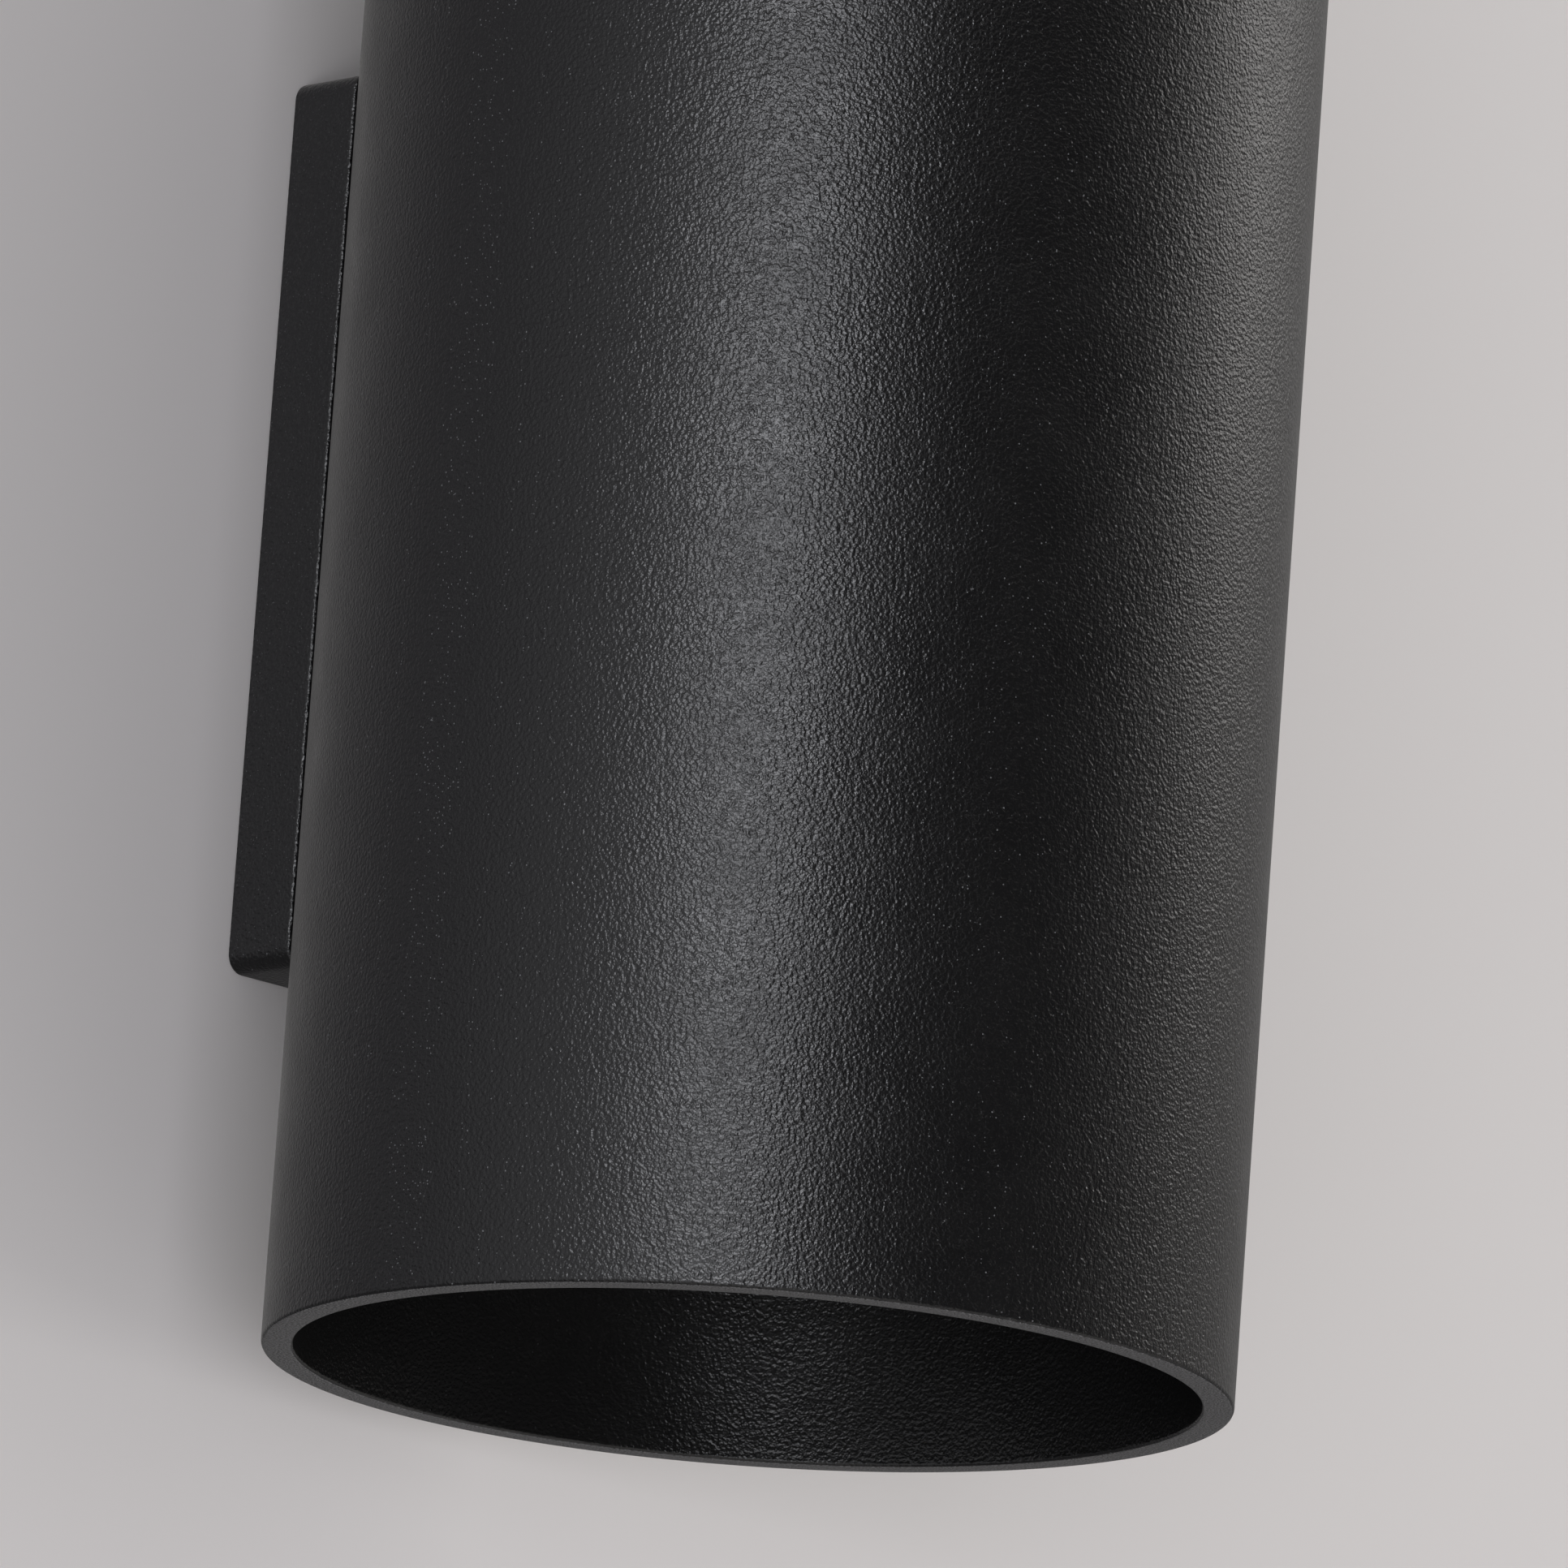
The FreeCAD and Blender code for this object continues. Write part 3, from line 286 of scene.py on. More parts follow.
def cutter_along_z(name, radius, x, y, z_low, z_high, sides=48):
    """The same bar with Y and Z exchanged, which turns it inside out, so its faces are pointed outwards again."""
    made = cutter_along_y(name, radius, 0, 0, z_low, z_high, sides)
    made.data.transform(Matrix(((1, 0, 0, x), (0, 0, 1, y), (0, 1, 0, 0), (0, 0, 0, 1))))
    return tidy_surface(made)


def back_holes(y_low, y_high):
    """Bars for the holes that block and tube share: one for each clamp screw and one for the cable's grommet."""
    bars = [cutter_along_y("clamp_hole", CLAMP_HOLE_RADIUS, 0, side * CLAMP_SPACING / 2, y_low, y_high)
            for side in (-1, 1)]
    return [*bars, cutter_along_y("cable_hole", GROMMET_HOLE_RADIUS, 0, 0, y_low, y_high)]


def combine(made, others, operation):
    """Cuts or joins the other closed surfaces, one at a time, and takes them away."""
    for other in others:
        modifier = made.modifiers.new(operation, "BOOLEAN")
        modifier.operation = operation
        modifier.solver = "EXACT"
        modifier.object = other
        activate(made)
        bpy.ops.object.modifier_apply(modifier=modifier.name)
        bpy.data.objects.remove(other)


def dress(made, body, slot, material, *nodes):
    """Puts a piece on its body, with its finish and the nodes that it stands for."""
    made.data.materials.clear()
    made.data.materials.append(material)
    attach(made, body)
    if nodes:
        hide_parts(*nodes)


# ---- Finishes ----


def add_node(tree, kind, values=None, links=None, **settings):
    """One node with its settings, its constant inputs and the outputs linked into it."""
    node = tree.nodes.new(kind)
    for name, value in settings.items():
        setattr(node, name, value)
    for socket, value in (values or {}).items():
        node.inputs[socket].default_value = value
    for socket, source in (links or {}).items():
        tree.links.new(source, node.inputs[socket])
    return node


def finish(name, colour, roughness, metallic=0.0, **sockets):
    """A new material with one Principled shader; returns the material, its tree, the shader and its coordinates."""
    material = bpy.data.materials.new(name)
    material.use_nodes = True
    tree = material.node_tree
    shader = tree.nodes["Principled BSDF"]
    shader.inputs["Base Color"].default_value = (*colour, 1)
    shader.inputs["Roughness"].default_value = roughness
    shader.inputs["Metallic"].default_value = metallic
    for socket, value in sockets.items():
        shader.inputs[socket.replace("_", " ")].default_value = value
    place = add_node(tree, "ShaderNodeTexCoord").outputs["Object"]
    return material, tree, shader, place


def noise(tree, place, pitch, detail=2.0, roughness=0.5):
    """Noise whose lumps are about one pitch across."""
    return add_node(tree, "ShaderNodeTexNoise", {"Scale": 1 / pitch, "Detail": detail, "Roughness": roughness},
                    {"Vector": place}).outputs["Fac"]


def ramp(tree, factor, span, result=(0, 1)):
    """A straight ramp, held level past its ends: the result's two values stand at the span's two ends."""
    return add_node(tree, "ShaderNodeMapRange",
                    {"From Min": span[0], "From Max": span[1], "To Min": result[0], "To Max": result[1]},
                    {"Value": factor}).outputs["Result"]


def mixed(tree, factor, first, second):
    """A colour between two, by the factor; each is a colour or an output. The Mix node's colours are its inputs
    6 and 7, and its output 2."""
    node = add_node(tree, "ShaderNodeMix", links={"Factor": factor}, data_type="RGBA")
    for index, colour in ((6, first), (7, second)):
        if isinstance(colour, bpy.types.NodeSocket):
            tree.links.new(colour, node.inputs[index])
        else:
            node.inputs[index].default_value = (*colour, 1)
    return node.outputs[2]


def worked_out(tree, first, operation, second=0.0):
    """One step of arithmetic on an output; the second value is a number or an output."""
    node = add_node(tree, "ShaderNodeMath", links={0: first}, operation=operation)
    if isinstance(second, bpy.types.NodeSocket):
        tree.links.new(second, node.inputs[1])
    else:
        node.inputs[1].default_value = second
    return node.outputs[0]


def bump(tree, shader, height, distance, strength=1.0):
    """Relief of the given height; strength may be an output."""
    node = add_node(tree, "ShaderNodeBump", {"Distance": distance}, {"Height": height})
    if isinstance(strength, bpy.types.NodeSocket):
        tree.links.new(strength, node.inputs["Strength"])
    else:
        node.inputs["Strength"].default_value = strength
    tree.links.new(node.outputs["Normal"], shader.inputs["Normal"])


def powder_coat(name, coat, tube=None):
    """Polyester powder coat with a fine sand texture: sprayed dry and baked, so it has close, rounded grains.
    To the eye it is charcoal, with a broad soft gloss that the grains break into sparks; sparse pale specks painted
    into its colour are painted glints."""
    cloud_pitch, cloud_gloss = 9 * MM, 0.03
    glint_pitch, empty_cells, largest_glint = 1.3 * coat.grain_pitch, 0.5, 0.18
    material, tree, shader, place = finish(name, coat.colour, coat.roughness)
    grains = noise(tree, place, coat.grain_pitch, detail=1.0)
    clouds = noise(tree, place, cloud_pitch, detail=3.0)
    gloss = ramp(tree, clouds, NOISE_SPAN, (coat.roughness - cloud_gloss, coat.roughness + cloud_gloss))
    # Painted glints: in half the cells a small pale speck, painted into the coat's colour where single grains would
    # catch the light.
    cells = add_node(tree, "ShaderNodeTexVoronoi", {"Scale": 1 / glint_pitch}, {"Vector": place})
    chance = add_node(tree, "ShaderNodeSeparateXYZ", links={"Vector": cells.outputs["Color"]}).outputs["X"]
    size = ramp(tree, chance, (empty_cells, 1.0), (0.0, largest_glint))
    painted_glints = worked_out(tree, cells.outputs["Distance"], "LESS_THAN", size)
    shade = mixed(tree, painted_glints, tuple(coat.colour), tuple(coat.painted_glint_colour))
    strength = 1.0
    if tube:
        shade, gloss, strength = bore_and_rim_light_and_gloss(tree, place, shade, gloss, coat, tube)
    tree.links.new(shade, shader.inputs["Base Color"])
    tree.links.new(gloss, shader.inputs["Roughness"])
    bump(tree, shader, grains, coat.grain_height, strength)
    return material


def bore_and_rim_light_and_gloss(tree, place, shade, gloss, coat, tube):
    """Inside the bore the coat is painted darker, a painted shade for the dim bore, and is smoother; on the rims it is
    painted paler, a painted light for what the flat rims catch from below, and is duller. On both its grains are
    lower. A point's distance from the tube's axis is sqrt(x2 + (y - axis)2)."""
    past_bore, under_skin, under_rim = 0.1 * MM, 0.3 * MM, 0.05 * MM
    inside_cover, inside_gloss, rim_dullness, inner_relief = 0.85, 0.08, 0.12, 0.7
    parts = add_node(tree, "ShaderNodeSeparateXYZ", links={"Vector": place})
    from_axis = worked_out(tree, parts.outputs["Y"], "SUBTRACT", TUBE_AXIS_Y)
    across_squared = worked_out(tree, parts.outputs["X"], "POWER", 2.0)
    squares = worked_out(tree, across_squared, "ADD", worked_out(tree, from_axis, "POWER", 2.0))
    radius = worked_out(tree, squares, "POWER", 0.5)
    inside = worked_out(tree, radius, "LESS_THAN", tube.bore / 2 + past_bore)
    outside = worked_out(tree, radius, "GREATER_THAN", tube.diameter / 2 - under_skin)
    height = worked_out(tree, parts.outputs["Z"], "ABSOLUTE")
    rim = worked_out(tree, height, "GREATER_THAN", tube.height / 2 - under_rim)
    dust = noise(tree, place, coat.grain_pitch / 2)
    # Painted light on the rims: the coat's colour mixed, by a fine noise, with the paler rim colour.
    rim_painted_light = mixed(tree, ramp(tree, dust, (0.35, 0.7)), tuple(coat.colour), tuple(coat.painted_rim_light))
    # Painted shade in the bore: the colour goes 0.85 of the way to the inside colour.
    bore_painted_shade = mixed(tree, ramp(tree, inside, (0, 1), (0, inside_cover)), shade, tuple(coat.painted_inside_shade))
    shade = mixed(tree, rim, bore_painted_shade, rim_painted_light)
    gloss = worked_out(tree, gloss, "SUBTRACT", worked_out(tree, inside, "MULTIPLY", inside_gloss))
    gloss = worked_out(tree, gloss, "ADD", worked_out(tree, rim, "MULTIPLY", rim_dullness))
    strength = worked_out(tree, worked_out(tree, outside, "MULTIPLY", 1 - inner_relief), "ADD", inner_relief)
    return shade, gloss, strength


def vary_colour(tree, shader, factor, span, first, second, most=1.0):
    """Lets the colour wander from the first to the second, as a pattern goes through its span."""
    share = ramp(tree, factor, span, (0, most))
    tree.links.new(mixed(tree, share, first, second), shader.inputs["Base Color"])


def vary_gloss(tree, shader, factor, span, smooth, rough):
    """Lets the roughness wander from smooth to rough, as a pattern goes through its span."""
    tree.links.new(ramp(tree, factor, span, (smooth, rough)), shader.inputs["Roughness"])


def zinc_plate(name):
    """Cold-rolled steel with bright zinc plate: a faint blue-yellow cast, fine rolling lines and soft blotches."""
    material, tree, shader, place = finish(name, srgb("#b9bcc0"), roughness=0.34, metallic=1.0)
    blotch = noise(tree, place, 5 * MM, detail=3.0)
    vary_colour(tree, shader, blotch, (0.35, 0.65), srgb("#b4b7bb"), srgb("#c3c3bf"))
    along_the_roll = add_node(tree, "ShaderNodeMapping", {"Scale": (1.0, 1.0, 0.04)}, {"Vector": place})
    lines = noise(tree, along_the_roll.outputs["Vector"], 0.12 * MM)
    vary_gloss(tree, shader, worked_out(tree, lines, "ADD", blotch), (0.6, 1.4), smooth=0.26, rough=0.44)
    bump(tree, shader, lines, 0.004 * MM)
    return material


def turned_metal(name, code):
    """Metal turned on a lathe or rolled: fine marks that break up the gloss, with a little staining."""
    colour = srgb(code)
    stained = tuple(0.72 * channel for channel in colour)
    material, tree, shader, place = finish(name, colour, roughness=0.3, metallic=1.0)
    stain = noise(tree, place, 1.5 * MM, detail=3.0)
    vary_colour(tree, shader, stain, (0.4, 0.75), colour, stained, most=0.7)
    marks = noise(tree, place, 0.12 * MM, detail=1.0)
    vary_gloss(tree, shader, marks, NOISE_SPAN, smooth=0.22, rough=0.4)
    bump(tree, shader, marks, 0.003 * MM)
    return material


def black_oxide(name):
    """Hardened steel blackened in a salt bath: near black, with an oily half gloss."""
    material, tree, shader, place = finish(name, srgb("#1a1a1c"), roughness=0.38, metallic=0.6)
    film = noise(tree, place, 0.6 * MM, detail=3.0)
    vary_gloss(tree, shader, film, NOISE_SPAN, smooth=0.3, rough=0.48)
    bump(tree, shader, film, 0.004 * MM)
    return material


def spun_black(name):
    """Spun aluminium with matt black paint: almost no gloss, a fine dust, and very faint rings round the lamp. The
    wave node draws a ring each 2 pi / 20 of its scaled distance, so they are nearly two dust pitches apart."""
    dust_pitch = 0.25 * MM
    material, tree, shader, place = finish(name, srgb("#141414"), roughness=0.62)
    centred = add_node(tree, "ShaderNodeMapping", {"Location": (0, -TUBE_AXIS_Y, 0)}, {"Vector": place})
    rings = add_node(tree, "ShaderNodeTexWave", {"Scale": 1 / (2 * math.pi * dust_pitch), "Distortion": 1.5},
                     {"Vector": centred.outputs["Vector"]}, wave_type="RINGS", rings_direction="Z")
    dust = noise(tree, place, dust_pitch)
    vary_gloss(tree, shader, dust, NOISE_SPAN, smooth=0.55, rough=0.72)
    bump(tree, shader, worked_out(tree, rings.outputs["Fac"], "ADD", dust), 0.006 * MM)
    return material


def steatite(name):
    """Pressed and fired steatite: a dense off-white ceramic, unglazed, with a fine grain and warm flecks."""
    material, tree, shader, place = finish(name, srgb("#e6e0d2"), roughness=0.55)
    grain = noise(tree, place, 0.3 * MM, detail=4.0, roughness=0.7)
    vary_colour(tree, shader, grain, (0.5, 0.8), srgb("#e9e4d8"), srgb("#cfc5b0"))
    bump(tree, shader, grain, 0.01 * MM)
    return material


def moulded_plastic(name, colour, roughness):
    """Injection-moulded plastic from a spark-eroded tool: an even colour with a very fine matt texture."""
    shaded = tuple(0.86 * channel for channel in colour)
    material, tree, shader, place = finish(name, colour, roughness)
    texture = noise(tree, place, 0.15 * MM)
    vary_gloss(tree, shader, texture, NOISE_SPAN, roughness - 0.06, roughness + 0.06)
    patches = noise(tree, place, 7 * MM)
    vary_colour(tree, shader, patches, NOISE_SPAN, colour, shaded)
    bump(tree, shader, texture, 0.006 * MM)
    return material


def cast_lamp_metal(name):
    """Die-cast aluminium with thin satin paint: silver grey, slightly soft at the edges of the fins."""
    material, tree, shader, place = finish(name, srgb("#b4b6b8"), roughness=0.42, metallic=0.75)
    skin = noise(tree, place, 0.5 * MM, detail=3.0)
    vary_gloss(tree, shader, skin, NOISE_SPAN, smooth=0.36, rough=0.5)
    bump(tree, shader, skin, 0.01 * MM)
    return material


def clear_acrylic(name, tint):
    """Moulded acrylic: clear, with a polished face and faint flow lines from the mould."""
    material, tree, shader, place = finish(name, tint, roughness=0.06, Transmission_Weight=0.92, IOR=1.49)
    flow = noise(tree, place, 3 * MM)
    vary_gloss(tree, shader, flow, NOISE_SPAN, smooth=0.04, rough=0.12)
    bump(tree, shader, flow, 0.01 * MM)
    return material


def solder_mask(name):
    """A circuit board's white solder mask: screen-printed and cured, satin, with a faint speckle."""
    material, tree, shader, place = finish(name, srgb("#e9eae6"), roughness=0.4)
    speckle = noise(tree, place, 0.4 * MM)
    vary_colour(tree, shader, speckle, (0.4, 0.7), srgb("#eceee9"), srgb("#d8d9d2"))
    bump(tree, shader, speckle, 0.004 * MM)
    return material


def woven_sleeve(name):
    """Glass-fibre sleeve woven over the wire: off-white strands that cross at a steep angle, in relief."""
    material, tree, shader, place = finish(name, srgb("#d9d4c6"), roughness=0.6)
    strands = noise(tree, place, 0.15 * MM)
    vary_colour(tree, shader, strands, (0.35, 0.7), srgb("#dcd7ca"), srgb("#b3ab98"))
    bump(tree, shader, strands, 0.02 * MM)
    return material


def soft_rubber(name):
    """Black chloroprene rubber: matt, with a bloom that makes it slightly grey."""
    material, tree, shader, place = finish(name, srgb("#1b1b1b"), roughness=0.7)
    bloom = noise(tree, place, 0.8 * MM, detail=4.0)
    vary_colour(tree, shader, bloom, (0.45, 0.8), srgb("#191919"), srgb("#39393a"), most=0.5)
    bump(tree, shader, bloom, 0.01 * MM)
    return material


def stage_paint(name, colour):
    """Matt emulsion, seen from its front only, so that the light can be looked at from behind."""
    material, tree, shader, place = finish(name, colour, roughness=0.9)
    roller = noise(tree, place, 1.2 * MM, detail=3.0)
    bump(tree, shader, roller, 0.02 * MM, strength=0.4)
    clear = add_node(tree, "ShaderNodeBsdfTransparent")
    back = add_node(tree, "ShaderNodeNewGeometry").outputs["Backfacing"]
    seen = add_node(tree, "ShaderNodeMixShader", links={0: back, 1: shader.outputs[0], 2: clear.outputs[0]})
    tree.links.new(seen.outputs[0], tree.nodes["Material Output"].inputs["Surface"])
    return material


# ---- Operators ----


class WALLLIGHT_OT_tube(bpy.types.Operator):
    """Make the open tube, with soft edges on its rims and the three holes behind the block"""

    bl_idname = "wall_light.tube"
    bl_label = "Tube"

    def execute(self, context):
        settings = context.scene.wall_light
        tube = settings.tube
        outer, inner, half, edge = tube.diameter / 2, tube.bore / 2, tube.height / 2, tube.rim_edge
        top = np.concatenate([
            round_corner((outer - edge, half - edge), edge, 0, 90),
            round_corner((inner + edge, half - edge), edge, 90, 180),
        ])
        bottom = top[::-1] * (1, -1)
        profile = np.concatenate([top, bottom])
        made = tidy_surface(grid_object("tube", spun(profile, tube.sides), wrap_rows=True, wrap_columns=True))
        combine(made, back_holes(TUBE_AXIS_Y, 0), "DIFFERENCE")
        tidy_surface(made)
        coat = powder_coat("sand_textured_powder_coat_tube", settings.coat, tube)
        dress(made, "fixture", "sand_black_tube", coat, "tube_body")
        return {"FINISHED"}


def rounded_rectangle(width, height, radius, steps=8):
    """A loop of points in the wall's plane: four quarter arcs, one about each corner's centre."""
    half_x, half_z = width / 2 - radius, height / 2 - radius
    centres = ((half_x, half_z), (-half_x, half_z), (-half_x, -half_z), (half_x, -half_z))
    arcs = [round_corner(centre, radius, 90 * k, 90 * k + 90, steps) for k, centre in enumerate(centres)]
    return np.concatenate(arcs)


def block_surface(block):
    """The block's shell as loops that share one count of points: the loop is drawn in by an inset and moved to a
    depth, from the middle of the front, round the outside, over the back rim and down to the cavity's floor."""
    edge = block.edge
    front = round_corner((edge, -block.depth + edge), edge, -90, -180, steps=5)
    cavity_floor = -block.depth + block.wall
    least_corner = block.wall / 4
    insets = [*front[:, 0], 0, block.wall, block.wall]
    depths = [*front[:, 1], 0, 0, cavity_floor]
    loops = []
    for inset, depth in zip(insets, depths):
        radius = max(block.corner - inset, least_corner)
        loop = rounded_rectangle(block.width - 2 * inset, block.height - 2 * inset, radius)
        loops.append(np.stack([loop[:, 0], np.full(len(loop), depth), loop[:, 1]], -1))
    first, last = loops[0], loops[-1]
    loops.insert(0, first * (0, 1, 0))
    loops.append(last * (0, 1, 0))
    return np.stack(loops)


class WALLLIGHT_OT_block(bpy.types.Operator):
    """Make the shallow block behind the tube, hollowed where the tube seats"""

    bl_idname = "wall_light.block"
    bl_label = "Wall block"

    def execute(self, context):
        settings = context.scene.wall_light
        block = settings.block
        made = tidy_surface(grid_object("block", block_surface(block), wrap_columns=True))
        saddle = cutter_along_z("saddle", TUBE_SIZE.x / 2 + SEAT_GAP, 0, TUBE_AXIS_Y, -block.height, block.height,
                                sides=720)
        cutters = [saddle, *back_holes(-2 * block.depth, CUT_PAST)]
        combine(made, [self.boss(block, side) for side in (-1, 1)], "UNION")
        for side in (-1, 1):
            low, high = sorted((side * block.height / 4, side * block.height))
            cutters.append(cutter_along_z("grub_hole", GRUB_HOLE_RADIUS, 0, GRUB_Y, low, high))
        combine(made, cutters, "DIFFERENCE")
        tidy_surface(made)
        coat = powder_coat("sand_textured_powder_coat_block", settings.coat)
        dress(made, "fixture", "sand_black_block", coat, "mounting_block")
        return {"FINISHED"}

    @staticmethod
    def boss(block, side):
        """The thicker place that the grub screw is threaded through: a closed box of four loops."""
        inner = block.height / 2 - block.wall
        z_low, z_high = sorted((side * (inner - block.boss_length), side * (inner + block.wall / 2)))
        y_low, y_high = -block.depth + block.wall / 2, -block.boss_sink
        loop = np.array([(-1, 0), (1, 0), (1, 1), (-1, 1)], float)
        x = loop[:, 0] * block.boss_width / 2
        y = y_low + loop[:, 1] * (y_high - y_low)
        ends = [np.stack([x, y, np.full(4, z)], -1) for z in (z_low, z_high)]
        caps = [np.repeat(end.mean(0)[None], 4, 0) for end in ends]
        points = np.stack([caps[0], ends[0], ends[1], caps[1]])
        return tidy_surface(grid_object("boss", points, wrap_columns=True))


def dome_middles(lamp):
    """The middle of each dome, measured from the tube's axis: one on it, and the others on a circle round it."""
    turns = np.linspace(0, 2 * np.pi, lamp.dome_count, endpoint=False)
    circle = lamp.dome_circle / 2
    return [(0.0, 0.0)] + [(circle * math.cos(turn), circle * math.sin(turn)) for turn in turns]


def domed_disc(radius, face_z, thickness, facing, lamp, rings=72, sides=180):
    """A closed disc whose face rises in spherical domes: on a polar grid, the height above the face is the cap
    sqrt(R2 - d2) - (R - h) of the nearest dome, where d is the distance to its middle, and 0 outside them all."""
    reach = np.linspace(0, radius, rings)[:, None]
    angles = np.linspace(0, 2 * np.pi, sides, endpoint=False)[None, :]
    x, y = reach * np.cos(angles), reach * np.sin(angles)
    cap, height = lamp.dome_diameter / 2, lamp.dome_height
    sphere = (cap**2 + height**2) / (2 * height)
    rise = np.zeros_like(x)
    for middle_x, middle_y in dome_middles(lamp):
        distance = np.hypot(x - middle_x, y - middle_y)
        dome = np.sqrt(np.maximum(sphere**2 - distance**2, 0)) - (sphere - height)
        rise = np.maximum(rise, np.where(distance < cap, dome, 0))
    face = np.stack([x, TUBE_AXIS_Y + y, face_z + facing * rise], -1)
    back_ring = np.stack([x[-1], TUBE_AXIS_Y + y[-1], np.full(sides, face_z - facing * thickness)], -1)
    back_middle = np.stack([0 * x[0], TUBE_AXIS_Y + 0 * y[0], back_ring[:, 2]], -1)
    return np.concatenate([face, back_ring[None], back_middle[None]])


def lens_place(lamp_body):
    """Where a lamp's lens is: its radius, the height of its back, the height of its domes and the way it faces."""
    low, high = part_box(lamp_body + "_lens")
    radius = (high.x - low.x) / 2
    return (radius, low.z, high.z, 1) if low.z > 0 else (radius, high.z, low.z, -1)


class WALLLIGHT_OT_lenses(bpy.types.Operator):
    """Make each lamp's domed lens and the board of light sources under it"""

    bl_idname = "wall_light.lenses"
    bl_label = "Lamp lenses"

    def execute(self, context):
        lamp = context.scene.wall_light.lamp
        acrylic = clear_acrylic("moulded_clear_acrylic", tuple(lamp.lens_colour))
        board_paint = solder_mask("solder_masked_board")
        phosphor = moulded_plastic("solder_masked_board_chip", tuple(lamp.chip_colour), 0.5)
        for lamp_body in ("upper_lamp", "lower_lamp"):
            radius, base, tip, facing = lens_place(lamp_body)
            face_z = tip - facing * lamp.dome_height
            thickness = abs(face_z - base) - 2 * lamp.board_thickness
            points = domed_disc(radius, face_z, thickness, facing, lamp)
            lens = tidy_surface(grid_object(lamp_body + "_domed_lens", points, wrap_columns=True))
            dress(lens, lamp_body, "clear_lens", acrylic, lamp_body + "_lens")
            board_face = base + facing * lamp.board_thickness
            dress(self.board(lamp_body, radius, base, board_face), lamp_body, "lamp_plastic", board_paint)
            dress(self.chips(lamp_body, board_face, facing, lamp), lamp_body, "lamp_plastic", phosphor)
        return {"FINISHED"}

    @staticmethod
    def board(lamp_body, radius, base, face):
        """A plain disc: a profile of four corners spun about the tube's axis."""
        profile = np.array([(0, base), (radius, base), (radius, face), (0, face)])
        return tidy_surface(grid_object(lamp_body + "_light_board", spun(profile, sides=96), wrap_columns=True))

    @staticmethod
    def chips(lamp_body, base, facing, lamp):
        """One square chip per dome: each is a box of loops, a cap, two squares and a cap, at the dome's middle."""
        square = np.array([(-1, -1), (1, -1), (1, 1), (-1, 1)]) * lamp.chip_width / 2
        made = []
        for x, y in dome_middles(lamp):
            loops = []
            for scale, level in ((0, 0), (1, 0), (1, 1), (0, 1)):
                z = np.full(4, base + facing * level * lamp.chip_height)
                loops.append(np.stack([x + scale * square[:, 0], TUBE_AXIS_Y + y + scale * square[:, 1], z], -1))
            made.append(tidy_surface(grid_object(lamp_body + "_light_chips", np.stack(loops), wrap_columns=True)))
        return joined(made)


def sleeved_wire(start, bend_radius, end, wire_radius, samples=120, sides=40):
    """A tube carried along a line, a quarter arc and a line in the plane of constant x. Its radius swells where the
    strands cross: r (1 - w + w sin(n a + k s) sin(n a - k s)), where a goes round the wire and s along it, n is the
    number of strands each way, w their relief, and k is 2 pi over the length in which a strand goes round once."""
    strand_count, strand_relief, strand_climb = 8, 0.05, 1.6 * MM
    turn = np.sign(end[2] - start[2])
    straight_z = abs(end[2] - start[2]) - bend_radius
    straight_y = end[1] - start[1] - bend_radius
    arc = bend_radius * math.pi / 2
    s = np.linspace(0, straight_z + arc + straight_y, samples)
    angle = np.clip((s - straight_z) / bend_radius, 0, math.pi / 2)
    after = np.maximum(s - straight_z - arc, 0)
    before = np.minimum(s, straight_z)
    y = start[1] + bend_radius * (1 - np.cos(angle)) + after
    z = start[2] + turn * (before + bend_radius * np.sin(angle))
    across_y, across_z = np.cos(angle), -turn * np.sin(angle)
    around = np.linspace(0, 2 * np.pi, sides, endpoint=False)[None, :]
    strands = strand_count * around
    climb = (2 * np.pi / strand_climb) * s[:, None]
    crossings = np.sin(strands + climb) * np.sin(strands - climb)
    radius = wire_radius * (1 - strand_relief + strand_relief * crossings)
    radius[[0, -1]] = wire_radius * (1 - strand_relief)
    x_points = start[0] + radius * np.sin(around)
    y_points = y[:, None] + radius * np.cos(around) * across_y[:, None]
    z_points = z[:, None] + radius * np.cos(around) * across_z[:, None]
    points = np.stack([x_points, y_points, z_points], -1)
    caps = [np.repeat(row.mean(0)[None, None], sides, 1) for row in (points[0], points[-1])]
    return np.concatenate([caps[0], points, caps[1]])


class WALLLIGHT_OT_leads(bpy.types.Operator):
    """Make the short woven-sleeved wires from the lamp holders to the terminal block"""

    bl_idname = "wall_light.leads"
    bl_label = "Lamp leads"

    def execute(self, context):
        lamp = context.scene.wall_light.lamp
        sleeve = woven_sleeve("woven_glass_sleeve")
        radius = lamp.wire_diameter / 2
        for side in ("upper", "lower"):
            low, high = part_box(side + "_lamp_leads")
            start_z, end_z = (high.z, low.z + radius) if side == "upper" else (low.z, high.z - radius)
            wires = []
            for x in (low.x + radius, high.x - radius):
                points = sleeved_wire((x, TUBE_AXIS_Y, start_z), lamp.wire_bend, (x, high.y, end_z), radius)
                wire = grid_object(side + "_sleeved_wires", points, wrap_columns=True)
                wires.append(tidy_surface(wire, sharp_angle=60.0))
            dress(joined(wires), "fixture", "lead_sleeve", sleeve, side + "_lamp_leads")
        return {"FINISHED"}


